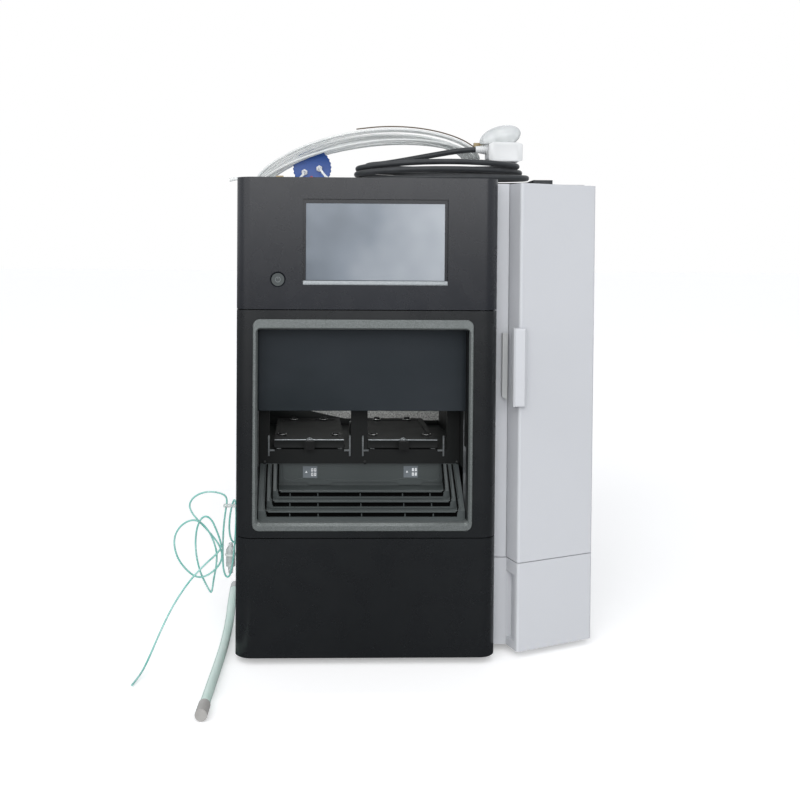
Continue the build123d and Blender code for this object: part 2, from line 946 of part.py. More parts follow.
def hinge_tabs():
    """Two tabs on the frame that hold the door's pins, top and bottom."""
    low = door_low + seam_gap / 2
    tabs = []
    for z_low, pin_low in (
        (low, low), (door_top - hinge_tab, door_top - hinge_tab - hinge_clear - pin_bearing)
    ):
        boss = upright(hinge_x, hinge_depth, z_low, z_low + hinge_tab, hinge_radius)
        arm = block(
            hinge_x - hinge_radius, hinge_x + hinge_radius - 1.5, hinge_depth, cover_front + 1,
            z_low, z_low + hinge_tab,
        )
        length = hinge_tab + hinge_clear + pin_bearing
        pin = upright(hinge_x, hinge_depth, pin_low, pin_low + length, pin_radius)
        tabs.append(boss + arm + pin)
    return Compound(tabs)


# ---- Case sheet metal ----

def base_frame():
    """Welded chassis: floor, divider, two shelves and the hinge post."""
    back = body_depth - rear_margin - rear_plate
    inner_left, inner_right = left + sheet, right - sheet
    floor = block(inner_left, inner_right, cover_front + 2, back, base, base + plate)
    divider_x = oven_left
    divider = block(divider_x - plate, divider_x, cover_front, back, base + plate, door_top - plate)
    lower = block(inner_left, divider_x - plate, cover_front, back, lower_seam, lower_seam + plate)
    upper_z = window_high + 8 + bay_wall
    upper = block(inner_left, divider_x - plate, cover_front, back, upper_z, upper_z + plate)
    toe = block(inner_left + 3, black_right - 6, panel_flange + 1, cover_front + 2, base + panel_wall, base + panel_wall + plate)
    heel = block(inner_left + 3, black_right - 6, cover_front + 2 - plate, cover_front + 2, base, base + panel_wall)
    post = block(
        hinge_x - 5, inner_right, cover_front + 1, cover_front + 1 + plate, base + plate, door_top - plate
    )
    foot = block(hinge_x - 5, inner_right, cover_front + 1, cover_front + 3, base, base + plate)
    return floor + divider + lower + upper + toe + heel + post + foot


def left_side_cover():
    back = body_depth - rear_margin
    skin = block(left, left + sheet, panel_reach + 0.6, back, base + plate, door_top)
    for row in range(10):
        z = base + 330 + row * 12
        skin = skin - block(left - 1, left + sheet + 1, 330, 420, z, z + 4)
    skin = skin - along_width(left - 1, left + 3, drain_depth, drain_z, hose_radius + 3)
    skin = skin - along_width(left - 1, left + 3, tube_port_depth, tube_port_z, tube_port_radius)
    return skin


def right_side_cover():
    back = body_depth - rear_margin
    skin = block(right - sheet, right, cover_front, back, base + plate, door_top)
    for row in range(10):
        z = base + 330 + row * 12
        skin = skin - block(right - 3, right + 1, 330, 420, z, z + 4)
    return skin


def top_cover():
    back = body_depth - rear_margin
    low, high = door_top, door_top + sheet
    main = block(left, right, cover_front, back, low, high)
    nose = block(left, jamb_left - fit_gap, panel_reach + 0.6, cover_front, low, high)
    brow = block(flank_x, hinge_x - 8, door_back + 1.5, cover_front, low, high)
    return main + nose + brow


def rear_panel():
    near = body_depth - rear_margin - rear_plate
    far = body_depth - rear_margin
    skin = block(left + sheet, right - sheet, near, far, base + plate, door_top)
    for row in range(vent_rows):
        z = vent_z + (row - vent_rows / 2) * vent_pitch
        skin = skin - block(vent_x - vent_length / 2, vent_x + vent_length / 2, near - 1, far + 1, z, z + vent_height)
    skin = skin - along_depth(fan_x, fan_z, near - 1, far + 1, fan_radius)
    skin = skin - block(
        inlet_x - inlet_width / 2, inlet_x + inlet_width / 2, near - 1, far + 1,
        inlet_z - inlet_height / 2, inlet_z + inlet_height / 2,
    )
    skin = skin - block(
        switch_x - switch_width / 2 - 2, switch_x + switch_width / 2 + 2, near - 1, far + 1,
        inlet_z - switch_height / 2 - 2, inlet_z + switch_height / 2 + 2,
    )
    return skin + fan_guard()


def fan_guard():
    """Pressed wire guard over the fan opening."""
    near, far = body_depth - rear_margin, body_depth
    wire = (far - near) / 2
    guard = None
    for radius in (fan_radius + 3, fan_radius * 0.68, fan_radius * 0.34):
        ring = along_depth(fan_x, fan_z, near, near + wire, radius)
        ring = ring - along_depth(fan_x, fan_z, near - 1, far, radius - 2.2)
        guard = ring if guard is None else guard + ring
    for turn in (45, 135):
        spoke = Rot(0, turn, 0) * Box(2 * fan_radius + 5, 2 * wire, 2.4)
        guard = guard + Pos(fan_x, y_at((near + far) / 2), fan_z) * spoke
    return guard


def fan_frame():
    far = body_depth - rear_margin - rear_plate
    near = far - fan_frame_depth
    half = fan_radius + 2
    frame = block(fan_x - half, fan_x + half, near, far, fan_z - half, fan_z + half)
    frame = frame - along_depth(fan_x, fan_z, near - 1, far + 1, fan_radius)
    for turn in (0, 60, 120):
        spoke = Pos(fan_x, y_at(near + 1.5), fan_z) * Rot(0, turn, 0) * Box(2 * fan_radius + 1, 3, 4)
        frame = frame + spoke
    frame = frame + along_depth(fan_x, fan_z, near, near + 5, fan_hub)
    frame = frame + along_depth(fan_x, fan_z, near + 5, near + 17, pin_radius)
    return frame


def fan_rotor():
    far = body_depth - rear_margin - rear_plate
    near = far - fan_frame_depth + 5.5
    hub = along_depth(fan_x, fan_z, near, far - 3, fan_hub)
    hub = hub - along_depth(fan_x, fan_z, near - 1, near + 12.5, pin_radius + pin_fit)
    rotor = hub
    for index in range(fan_blades):
        turn = index * 360 / fan_blades
        reach = fan_radius - blade_gap
        blade = Pos((fan_hub - 1 + reach) / 2, 0, 0) * Rot(38, 0, 0) * Box(reach - fan_hub + 1, 14, 1.6)
        place = Pos(fan_x, y_at((near + far - 3) / 2), fan_z) * Rot(0, turn, 0)
        rotor = rotor + place * blade
    trim_ring = along_depth(fan_x, fan_z, near, far - 2, fan_radius - blade_gap)
    return rotor & trim_ring


def mains_inlet():
    far = body_depth - rear_margin
    near = far - inlet_depth
    body = block(
        inlet_x - inlet_width / 2 + fit_gap, inlet_x + inlet_width / 2 - fit_gap, near - 6, far,
        inlet_z - inlet_height / 2 + fit_gap, inlet_z + inlet_height / 2 - fit_gap,
    )
    flange = block(
        inlet_x - inlet_width / 2 - inlet_flange, inlet_x + inlet_width / 2 + inlet_flange, far, far + 2,
        inlet_z - inlet_height / 2 - 2, inlet_z + inlet_height / 2 + 2,
    )
    socket = block(
        inlet_x - inlet_width / 2 + 3, inlet_x + inlet_width / 2 - 3, near, far + 3,
        inlet_z - inlet_height / 2 + 3, inlet_z + inlet_height / 2 - 3,
    )
    body = body + flange - socket
    for x, z in ((-pin_gap, -2), (pin_gap, -2), (0, 2)):
        blade = block(inlet_x + x - 1, inlet_x + x + 1, near - 1, far - 3, inlet_z + z - 2, inlet_z + z + 2)
        body = body + blade
    return body


def mains_switch_frame():
    far = body_depth - rear_margin
    w, h = switch_width / 2, switch_height / 2
    outer = block(switch_x - w - 1.7, switch_x + w + 1.7, far - 14, far, inlet_z - h - 1.7, inlet_z + h + 1.7)
    flange = block(switch_x - w - 4, switch_x + w + 4, far, far + 1.6, inlet_z - h - 4, inlet_z + h + 4)
    well = block(switch_x - w, switch_x + w, far - 12, far + 3, inlet_z - h, inlet_z + h)
    return outer + flange - well


def mains_rocker():
    """Rocker that tips about a level pin across its middle."""
    far = body_depth - rear_margin
    half = switch_width / 2 - 1.2
    height = switch_height - 1.0
    sketch = make_face(
        Polyline((-half, 0), (-half, 6.2), (0, 4.2), (half, 6.2), (half, 0), (0, -3.5), close=True)
    )
    place = Pos(switch_x, y_at(far - switch_pivot), inlet_z - height / 2)
    return place * Rot(0, 0, -switch_tilt / 2) * extrude(sketch, height)


# ---- Column oven and detector cell ----

def oven_housing():
    low, high = oven_low, oven_high
    box_outer = block(oven_left, oven_right, oven_front, oven_back, low, high)
    cavity = block(
        oven_left + oven_wall, oven_right - oven_wall, oven_front - 1, oven_back - oven_wall,
        oven_shelf_z + oven_wall, high - oven_wall,
    )
    lower = block(
        oven_left + oven_wall, oven_right - oven_wall, oven_front - 1, oven_back - oven_wall,
        low + oven_wall, oven_shelf_z,
    )
    return box_outer - cavity - lower


def heater_block():
    near = oven_back - oven_wall - 26
    slab = block(
        oven_right - oven_wall - heater_width, oven_right - oven_wall, near, oven_back - oven_wall,
        oven_shelf_z + oven_wall + 20, oven_high - oven_wall - 20,
    )
    for row in range(9):
        z = oven_shelf_z + 46 + row * 28
        slab = slab - block(
            oven_right - oven_wall - heater_width + 4, oven_right - oven_wall - 4, near - 1, near + 8,
            z, z + 12,
        )
    return slab


def analytical_column():
    low, high = column_low, column_low + column_length
    tube = upright(column_x, column_depth, low, high, column_radius)
    for z in (low, high - fitting_length):
        nut = Pos(column_x, y_at(column_depth), z) * extrude(RegularPolygon(fitting_radius, 6), fitting_length)
        tube = tube + nut
    for z_low, z_high in ((low - 8, low), (high, high + 8)):
        tube = tube + upright(column_x, column_depth, z_low, z_high, 2.6)
    return tube


def column_clips():
    clips = []
    for z in (column_low + 55, column_low + column_length - 55):
        foot = block(
            column_x - 9, column_x + 9, column_depth + column_radius + 3, oven_back - oven_wall,
            z - clip_width / 2, z + clip_width / 2,
        )
        jaw = upright(column_x, column_depth, z - clip_width / 2, z + clip_width / 2, column_radius + 3.5)
        hole = upright(column_x, column_depth, z - clip_width, z + clip_width, column_radius + 0.02)
        mouth = block(
            column_x - column_radius + 0.8, column_x + column_radius - 0.8,
            column_depth - 12, column_depth, z - clip_width, z + clip_width,
        )
        clips.append(foot + jaw - hole - mouth)
    return Compound(clips)


def flow_cell():
    low, high = cell_z - cell_height / 2, cell_z + cell_height / 2
    far = oven_back - oven_wall
    body = block(cell_x - cell_width / 2, cell_x + cell_width / 2, cell_depth_front, far, low, high)
    body = fillet(body.edges().filter_by(Axis.Z).group_by(Axis.Y)[0], 5)
    for side in (-1, 1):
        body = body + along_depth(cell_x + side * 24, cell_z - 16, cell_depth_front - 5, cell_depth_front, 4)
    return body + cell_screws()


def cell_screws():
    screws = []
    for side in (-1, 1):
        head = along_depth(
            cell_x + side * 26, cell_z + 18, cell_depth_front - cell_knob_length, cell_depth_front,
            cell_knob_radius,
        )
        screws.append(head)
    return screws


# ---- Pump compartment ----

def pump_unit():
    low = base + plate
    return block(pump_x - pump_width / 2, pump_x + pump_width / 2, pump_front, pump_back, low, low + pump_height)


def pump_heads():
    z = base + plate + pump_height / 2 + 8
    heads = []
    for side in (-1, 1):
        x = pump_x + side * head_pitch / 2
        head = along_depth(x, z, pump_front - head_length, pump_front, head_radius)
        head = head - along_depth(x, z, pump_front - head_length - 1, pump_front - head_length + 6, 9)
        heads.append(head)
    return Compound(heads + [purge_valve()])


def purge_valve():
    z = base + plate + purge_height
    near = pump_front - purge_reach
    body = block(pump_x - 11, pump_x + 11, near, pump_front, z - 11, z + 11)
    return body + along_depth(pump_x, z, near - 6, near, knob_stem)


def purge_knob():
    z = base + plate + purge_height
    far = pump_front - purge_reach - fit_gap
    knob = along_depth(pump_x, z, far - knob_length, far, knob_radius)
    knob = knob - along_depth(pump_x, z, far - 6.5, far + 1, knob_stem + pin_fit)
    for index in range(8):
        turn = math.radians(index * 45)
        x, dz = knob_radius * math.cos(turn), knob_radius * math.sin(turn)
        knob = knob - along_depth(pump_x + x, z + dz, far - knob_length - 1, far + 1, 1.6)
    return knob


def degasser():
    low = base + plate
    return block(
        degasser_x - degasser_width / 2, degasser_x + degasser_width / 2, pump_front, degasser_back,
        low, low + degasser_height,
    )


# ---- Electronics ----

def main_board():
    upper = window_high + 8 + bay_wall + plate
    low = upper + standoff
    wide, deep = board_right - board_left, board_back - board_front
    board = block(board_left, board_right, board_front, board_back, low, low + board_thick)
    for x_share, share, size, height in board_chips:
        x, depth = board_left + wide * x_share, board_front + deep * share
        board = board + block(
            x - size / 2, x + size / 2, depth - size / 2, depth + size / 2,
            low + board_thick, low + board_thick + height,
        )
    for x in (board_left + board_edge, board_right - board_edge):
        for depth in (board_front + board_edge, board_back - board_edge):
            board = board + upright(x, depth, upper, low, 3)
    return board


def power_supply():
    low = window_high + 8 + bay_wall + plate
    return block(
        board_left, board_left + supply_width, supply_back - supply_depth, supply_back,
        low, low + supply_height,
    )


def detector_housing():
    return block(oven_left, oven_right, oven_back + 4, detector_back, base + plate, base + 250)


def feet():
    pads = []
    for side in (-1, 1):
        for depth in (cover_front + foot_inset, body_depth - foot_inset):
            x = side * (body_width / 2 - foot_inset)
            pads.append(
                Pos(x, y_at(depth), foot_height / 2) * Cone(foot_radius - 2, foot_radius, foot_height)
            )
    return Compound(pads)


# ---- Plumbing and cords ----

def side_ports():
    """Flush drain bulkhead and tube grommet in the left side cover."""
    return Compound([drain_port(), tube_port()])


def drain_port():
    neck = along_width(left, left + 8, drain_depth, drain_z, hose_radius + 2.7)
    return neck - along_width(left - 1, left + 5, drain_depth, drain_z, 3)


def hose_elbow():
    """Angle piece on the end of the drain hose, pushed up to its port."""
    arm = along_width(left - elbow_reach, left, drain_depth, drain_z, hose_radius)
    knee = Pos(left - elbow_reach, y_at(drain_depth), drain_z) * Sphere(hose_radius)
    leg = along_depth(
        left - elbow_reach, drain_z, drain_depth - 18, drain_depth, hose_radius
    )
    return arm + knee + leg


def tube_port():
    neck = along_width(left, left + 6, tube_port_depth, tube_port_z, tube_port_radius - fit_gap)
    return neck - along_width(left - 1, left + 7, tube_port_depth, tube_port_z, 4)


def free_route(points, radius, name):
    """Tube of straight runs joined by arcs as large as the two runs allow."""
    corners = [Vector(*point) for point in points]
    start = corners[0]
    pieces = []
    radii = []
    for before, here, after in zip(corners, corners[1:], corners[2:]):
        into = (here - before).normalized()
        out = (after - here).normalized()
        half = math.radians(into.get_angle(out)) / 2
        reach = 0.45 * min((here - before).length, (after - here).length)
        radii.append(reach / math.tan(half))
        first = here - into * reach
        last = here + out * reach
        pieces += [Line(start, first), TangentArc(first, last, tangent=into)]
        start = last
    pieces.append(Line(start, corners[-1]))
    path = Wire([piece.edge() for piece in pieces])
    section = Plane(origin=points[0], z_dir=corners[1] - corners[0]) * Circle(radius)
    tube = sweep(section, path=path)
    share = tube.volume / (math.pi * radius ** 2 * path.length)
    print(name, "radii", [round(r) for r in radii], "length", round(path.length, 1), "share", round(share, 4))
    return tube


hose_points = [
    (left - elbow_reach, y_at(172), drain_z),
    (left - 14.3, y_at(142), 20.5),
    (left - 14.1, y_at(110), 9.8),
    (left - 14.8, y_at(75), 6.1),
    (left - 15.6, y_at(30), 6.4),
    (left - 18.0, y_at(-15), 6.2),
    (left - 20.8, y_at(-60), 6.4),
    (left - 23.2, y_at(-103), 6.6),
]

tail_points = [
    (left - 25.0, y_at(tube_port_depth - coil_thick / 2), 114.4),
    (left - 37.0, y_at(38), 106.0),
    (left - 55.5, y_at(32), 88.0),
    (left - 74.0, y_at(24), 61.5),
    (left - 87.0, y_at(9), 35.5),
    (left - 96.0, y_at(-10), 14.5),
    (left - 102.5, y_at(-30), 3.4),
    (left - 108.5, y_at(-49), 1.3),
]


def drain_hose():
    return free_route(hose_points, hose_radius, "drain_hose")


def hose_sleeve():
    """Rubber sleeve over the free end of the drain hose."""
    way = Vector(*hose_points[-1]) - Vector(*hose_points[-2])
    level = Vector(way.X, way.Y, 0)
    return extrude(Plane(origin=hose_points[-1], z_dir=level) * Circle(sleeve_radius), sleeve_length)


def teal_tail():
    return free_route(tail_points, tube_radius, "teal_tail")


def teal_coil():
    """Loose hank of small tube that hangs from its port beside the case."""
    hank = Pos(left - coil_width, tube_port_z) * Ellipse(coil_width, coil_height)
    return front_solid(hank, tube_port_depth - coil_thick / 2, tube_port_depth + coil_thick / 2)


def power_cord_coil():
    """Loops of the mains cord laid on the top cover."""
    low = door_top + sheet
    loop = Pos(cord_x, y_at(cord_depth)) * Ellipse(cord_half_width, cord_half_depth)
    pile = Pos(0, 0, low) * extrude(loop, cord_height)
    return chamfer(pile.edges().group_by(Axis.Z)[-1], 8)


def power_plug():
    """Moulded plug that lies on the coiled cord, with two flat pins."""
    low = door_top + sheet + cord_height
    middle = Pos(cord_x + 84, y_at(cord_depth), low + plug_height / 2)
    body = middle * Box(plug_length, plug_width, plug_height)
    body = fillet(body.edges().filter_by(Axis.X), 6)
    pins = [
        middle * Pos(plug_length / 2 + 8, side * 6, 0) * Box(16, 1.5, 6) for side in (-1, 1)
    ]
    return body + pins


def clear_tubing_coil():
    """Springy coils of clear tubing that lie on the top cover round the cord."""
    low = door_top + sheet
    near, gap = cord_depth - cord_half_depth, 12.0
    middle = cord_depth + cord_half_depth + gap
    outline = [
        (left + 3, near + 2), (cord_x - cord_half_width - gap, near + 2),
        (cord_x - cord_half_width - gap, middle), (cord_x + 60, middle),
        (cord_x + 60, middle + 110), (left + 3, middle + 110),
    ]
    face = plan_face(outline)
    corners = face.vertices()
    face = fillet(corners, 24)
    lying = Pos(0, 0, low) * extrude(face, bundle_low_height)
    arch = block(left + 20, cord_x + 59, middle + 8, middle + 100, low, low + bundle_height)
    arch = fillet(arch.edges().filter_by(Axis.Y).group_by(Axis.Z)[-1], 30)
    return lying + arch


parts = {
    "base_frame": base_frame,
    "front_plate": front_plate,
    "display_bezel": display_bezel,
    "touch_screen": touch_screen,
    "screen_ledge": screen_ledge,
    "power_button": power_button,
    "power_switch": power_switch,
    "sampler_bezel": sampler_bezel,
    "window_trim": window_trim,
    "sampler_door": sampler_door,
    "door_guides": door_guides,
    "lower_front_cover": lower_front_cover,
    "louvre_apron": louvre_apron,
    "rack_bay": rack_bay,
    "insulation_panel": insulation_panel,
    "rack_guides": rack_guides,
    "needle_rail": needle_rail,
    "needle_arm": needle_arm,
    "needle": needle,
    "injection_port": injection_port,
    "right_door": right_door,
    "door_liner": door_liner,
    "door_grip": door_grip,
    "door_jamb": door_jamb,
    "latch_plate": latch_plate,
    "right_lower_panel": right_lower_panel,
    "hinge_tabs": hinge_tabs,
    "left_side_cover": left_side_cover,
    "right_side_cover": right_side_cover,
    "top_cover": top_cover,
    "rear_panel": rear_panel,
    "fan_frame": fan_frame,
    "fan_rotor": fan_rotor,
    "mains_inlet": mains_inlet,
    "mains_switch_frame": mains_switch_frame,
    "mains_rocker": mains_rocker,
    "oven_housing": oven_housing,
    "heater_block": heater_block,
    "analytical_column": analytical_column,
    "column_clips": column_clips,
    "flow_cell": flow_cell,
    "pump_unit": pump_unit,
    "pump_heads": pump_heads,
    "purge_knob": purge_knob,
    "degasser": degasser,
    "main_board": main_board,
    "power_supply": power_supply,
    "detector_housing": detector_housing,
    "feet": feet,
    "side_ports": side_ports,
    "hose_elbow": hose_elbow,
    "drain_hose": drain_hose,
    "hose_sleeve": hose_sleeve,
    "teal_coil": teal_coil,
    "teal_tail": teal_tail,
    "power_cord_coil": power_cord_coil,
    "power_plug": power_plug,
    "clear_tubing_coil": clear_tubing_coil,
}

for name, make in parts.items():
    save(make(), name)

for name, tray_x in (("left_rack_tray", tray_left_x), ("right_rack_tray", tray_right_x)):
    save(rack_tray(tray_x) + tray_knob(tray_x), name)
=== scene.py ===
import math

import bpy
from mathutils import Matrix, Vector


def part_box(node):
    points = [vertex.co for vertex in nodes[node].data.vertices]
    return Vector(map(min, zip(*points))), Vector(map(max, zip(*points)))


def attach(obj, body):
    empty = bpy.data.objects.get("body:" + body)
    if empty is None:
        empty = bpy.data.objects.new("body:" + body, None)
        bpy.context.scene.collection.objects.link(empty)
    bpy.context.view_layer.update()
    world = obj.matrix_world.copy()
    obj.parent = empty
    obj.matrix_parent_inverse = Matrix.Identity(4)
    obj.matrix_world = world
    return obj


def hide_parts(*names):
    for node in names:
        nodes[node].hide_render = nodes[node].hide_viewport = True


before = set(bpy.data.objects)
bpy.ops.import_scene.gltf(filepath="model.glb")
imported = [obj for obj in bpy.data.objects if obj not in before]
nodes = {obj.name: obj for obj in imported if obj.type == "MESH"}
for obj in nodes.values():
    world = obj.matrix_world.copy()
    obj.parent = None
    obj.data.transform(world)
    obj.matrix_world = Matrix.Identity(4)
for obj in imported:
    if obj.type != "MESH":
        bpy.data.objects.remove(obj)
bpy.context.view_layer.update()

# Camera

cameraSettings = {
    "place": (-0.13819, -1.27953, 0.47108),
    "turn": (88.866, -0.356, -1.37),
    "lens": 40.5,
    "shift": (0.09375, -0.15625),
}


def addCamera(settings):
    data = bpy.data.cameras.new("camera")
    data.lens = settings["lens"]
    data.sensor_width = 36
    data.shift_x, data.shift_y = settings["shift"]
    camera = bpy.data.objects.new("camera", data)
    camera.location = settings["place"]
    camera.rotation_euler = [math.radians(angle) for angle in settings["turn"]]
    bpy.context.scene.collection.objects.link(camera)
    bpy.context.scene.camera = camera


addCamera(cameraSettings)
print("camera placed")

# Helpers for finishes


def hexColor(code):
    parts = [int(code[i : i + 2], 16) / 255 for i in (1, 3, 5)]
    linear = [p / 12.92 if p <= 0.04045 else ((p + 0.055) / 1.055) ** 2.4 for p in parts]
    return (*linear, 1.0)


def perMetre(size):  # how often a pattern of that size in millimetres repeats
    return 1000 / size


def addNode(tree, kind, inputs=None, output=0, stops=(), **settings):
    node = tree.nodes.new(kind)
    for name, value in settings.items():
        setattr(node, name, value)
    for key, value in (inputs or {}).items():
        if isinstance(value, bpy.types.NodeSocket):
            tree.links.new(value, node.inputs[key])
        else:
            node.inputs[key].default_value = value
    for index, (spot, code) in enumerate(stops):
        elements = node.color_ramp.elements
        element = elements[index] if index < 2 else elements.new(spot)
        element.position, element.color = spot, hexColor(code)
    return node.outputs[output]


def newMaterial(name, sockets):
    material = bpy.data.materials.new(name)
    material.use_nodes = True
    shader = material.node_tree.nodes["Principled BSDF"]
    for key, value in sockets.items():
        shader.inputs[key].default_value = value
    return material, material.node_tree, shader


def feed(tree, shader, links):
    for key, output in links.items():
        tree.links.new(output, shader.inputs[key])


# Finishes. Pattern sizes are in millimetres.


def surface(made, settings, tint, spots, sheen, span, relief=None):
    # colour follows tint and gloss follows sheen; relief is an output, a strength and a distance
    material, tree, shader = made
    stops = [(spot, settings[key]) for spot, key in zip(spots, ("dark", "light", "middle"))]
    low, high = span
    links = {
        "Base Color": addNode(tree, "ShaderNodeValToRGB", {"Fac": tint}, stops=stops),
        "Roughness": addNode(
            tree, "ShaderNodeMapRange", {"Value": sheen, "To Min": low, "To Max": high}
        ),
    }
    if relief:
        height, strength, distance = relief
        links["Normal"] = addNode(
            tree, "ShaderNodeBump", {"Height": height, "Strength": strength, "Distance": distance}
        )
    feed(tree, shader, links)
    return material


def noiseFinish(made, settings, tint, sheen, relief):
    # each of the three has a noise of its own: its size in millimetres and detail come first
    tree = made[1]
    where = addNode(tree, "ShaderNodeTexCoord", output="Object")
    cloud, wear, grain = [
        addNode(tree, "ShaderNodeTexNoise", {"Vector": where, "Scale": perMetre(size), "Detail": detail})
        for size, detail, *_ in (tint, sheen, relief)
    ]
    return surface(made, settings, cloud, tint[2:], wear, sheen[2:], (grain, *relief[2:]))


def mouldedPlastic(name, settings):
    # ABS from a spark-eroded mould: one even body colour, a fine matt grain,
    # and faint clouds of handling gloss
    rough = settings["rough"]
    made = newMaterial(name, {"Specular IOR Level": settings.get("specular", 0.5), "IOR": 1.53})
    relief = (settings["grain"], 2, settings.get("relief", 0.25), 0.0002)
    return noiseFinish(made, settings, (200, 5, 0.3, 0.75), (28, 4, rough - 0.05, rough + 0.07), relief)


def sprayedPaint(name, settings):
    # two-part enamel sprayed on: flat colour, soft gloss, and the low ripple of orange peel
    rough = settings["rough"]
    made = newMaterial(name, {"Specular IOR Level": 0.45, "Coat Weight": settings["coat"]})
    relief = (settings["peel"], 3, 0.15, 0.0002)
    return noiseFinish(made, settings, (400, 4, 0.25, 0.8), (50, 4, rough - 0.04, rough + 0.06), relief)


def softRubber(name, settings):
    # vulcanised rubber or soft PVC: dull, slightly dusty, with drawn-out scuffs
    made = newMaterial(
        name, {"Specular IOR Level": settings.get("specular", 0.4), "Sheen Weight": settings["sheen"]}
    )
    return noiseFinish(made, settings, (16, 4, 0.3, 0.75), (4.5, 3, 0.38, 0.62), (1.1, 2, 0.2, 0.0004))


def extrudedTubing(name, settings):
    # fluoropolymer or PVC tubing, extruded: milky and wet-looking, with draw lines that catch light
    rough = settings["rough"]
    made = newMaterial(name, {
        "Transmission Weight": settings["clear"], "IOR": 1.38,
        "Specular IOR Level": 0.55, "Coat Weight": 0.3,
    })
    relief = (2.5, 2, settings.get("relief", 0.12), 0.0003)
    return noiseFinish(made, settings, (22, 3, 0.25, 0.8), (8, 3, rough, rough + 0.16), relief)


def metallicLacquer(name, settings):
    # moulding sprayed with lacquer that holds metal flake: grey, with a fine sparkle
    # under a clear coat
    made = newMaterial(name, {"Metallic": 0.45, "Coat Weight": 0.2})
    material, tree, shader = made
    where = addNode(tree, "ShaderNodeTexCoord", output="Object")
    flake = addNode(tree, "ShaderNodeTexVoronoi", {"Vector": where, "Scale": perMetre(0.7)}, "Color")
    tone = addNode(tree, "ShaderNodeRGBToBW", {"Color": flake})
    settled = addNode(tree, "ShaderNodeTexNoise", {"Vector": where, "Scale": perMetre(33), "Detail": 4})
    surface(made, settings, tone, (0.2, 0.8), settled, (0.32, 0.46), (tone, 0.05, 0.0001))
    if "opening" in settings:  # painted shade: the inner edge at both sides, where shade falls, is masked off and painted near black
        paintedShadeMask = 1.0
        for axis, (low, high) in settings["opening"].items():
            place = addNode(tree, "ShaderNodeSeparateXYZ", {"Vector": where}, axis)
            inside = addNode(
                tree, "ShaderNodeMath",
                {0: place, 1: (low + high) / 2000, 2: (high - low) / 2000}, operation="COMPARE",
            )
            paintedShadeMask = addNode(tree, "ShaderNodeMath", {0: paintedShadeMask, 1: inside}, operation="MULTIPLY")
        plain = shader.inputs["Base Color"].links[0].from_socket
        feed(tree, shader, {"Base Color": addNode(
            tree, "ShaderNodeMix", {"Factor": paintedShadeMask, "A": plain, "B": hexColor(settings["edge"])},
            "Result", data_type="RGBA",
        )})
    return material


def brushedMetal(name, settings):
    # sheet or bar drawn along one way under a belt: long fine lines that stretch the highlight
    made = newMaterial(name, {"Metallic": 1.0, "Anisotropic": 0.3})
    tree = made[1]
    where = addNode(tree, "ShaderNodeTexCoord", output="Object")
    along = addNode(tree, "ShaderNodeMapping", {"Vector": where, "Scale": settings["stretch"]})
    lines = addNode(
        tree, "ShaderNodeTexNoise",
        {"Vector": along, "Scale": perMetre(settings["line"]), "Detail": 3, "Roughness": 0.6},
    )
    bands = addNode(tree, "ShaderNodeTexNoise", {"Vector": along, "Scale": perMetre(17), "Detail": 3})
    rough = settings["rough"]
    span = (rough - 0.06, rough + 0.1)
    return surface(made, settings, lines, (0.3, 0.7), bands, span, (lines, 0.08, 0.0001))


def galvanisedSheet(name, settings):
    # hot-dipped zinc on steel: grey crystal patches (spangle) that differ in tone and in gloss
    made = newMaterial(name, {"Metallic": 0.85})
    tree = made[1]
    where = addNode(tree, "ShaderNodeTexCoord", output="Object")
    spangle = addNode(
        tree, "ShaderNodeTexVoronoi", {"Vector": where, "Scale": perMetre(settings["spangle"])}, "Color"
    )
    tone = addNode(tree, "ShaderNodeRGBToBW", {"Color": spangle})
    frost = addNode(tree, "ShaderNodeTexNoise", {"Vector": where, "Scale": perMetre(1.5), "Detail": 3})
    return surface(made, settings, tone, (0.1, 0.9), tone, (0.3, 0.5), (frost, 0.06, 0.0001))


def smokedAcrylic(name, settings):
    # cast acrylic dyed dark: a mirror-smooth face and a little light through it;
    # slanted lighter and darker bands in its colour are a painted reflection
    made = newMaterial(name, {"Transmission Weight": 0.12, "IOR": 1.49})
    tree = made[1]
    where = addNode(tree, "ShaderNodeTexCoord", output="Object")
    slanted = addNode(
        tree, "ShaderNodeMapping",
        {"Vector": where, "Scale": (1, 1, 2.2), "Rotation": (0, math.radians(14), 0)},
    )
    # painted reflection: broad slanted bands, lighter and darker, in the colour
    paintedReflectionBands = addNode(tree, "ShaderNodeTexNoise", {"Vector": slanted, "Scale": perMetre(250), "Detail": 3})
    smear = addNode(tree, "ShaderNodeTexNoise", {"Vector": where, "Scale": perMetre(110), "Detail": 4})
    return surface(made, settings, paintedReflectionBands, (0.3, 0.75, 0.5), smear, (0.05, 0.12))


def etchedGlass(name, settings):
    # touch glass with an etched front over a grey unlit display; its colour holds a painted
    # reflection, soft and broad and paler to one side
    made = newMaterial(name, {"Specular IOR Level": 0.5, "IOR": 1.52})
    tree = made[1]
    where = addNode(tree, "ShaderNodeTexCoord", output="Object")
    # painted reflection: the colour grows paler towards +X
    across = addNode(
        tree, "ShaderNodeMapRange",
        {
            "Value": addNode(tree, "ShaderNodeSeparateXYZ", {"Vector": where}, "X"),
            "From Min": -0.15, "From Max": 0.04, "To Min": 0.0, "To Max": 0.6,
        },
    )
    cloud, smear, etch = [
        addNode(tree, "ShaderNodeTexNoise", {"Vector": where, "Scale": perMetre(size), "Detail": detail})
        for size, detail in ((70, 2), (80, 3), (0.5, 1))
    ]
    # painted reflection: soft broad clouds added to that paleness
    paintedReflectionClouds = addNode(tree, "ShaderNodeMapRange", {"Value": cloud, "To Min": -0.1, "To Max": 0.5})
    tint = addNode(tree, "ShaderNodeMath", {0: across, 1: paintedReflectionClouds}, operation="ADD")
    return surface(made, settings, tint, (0.1, 0.85, 0.4), smear, (0.16, 0.3), (etch, 0.03, 0.0001))


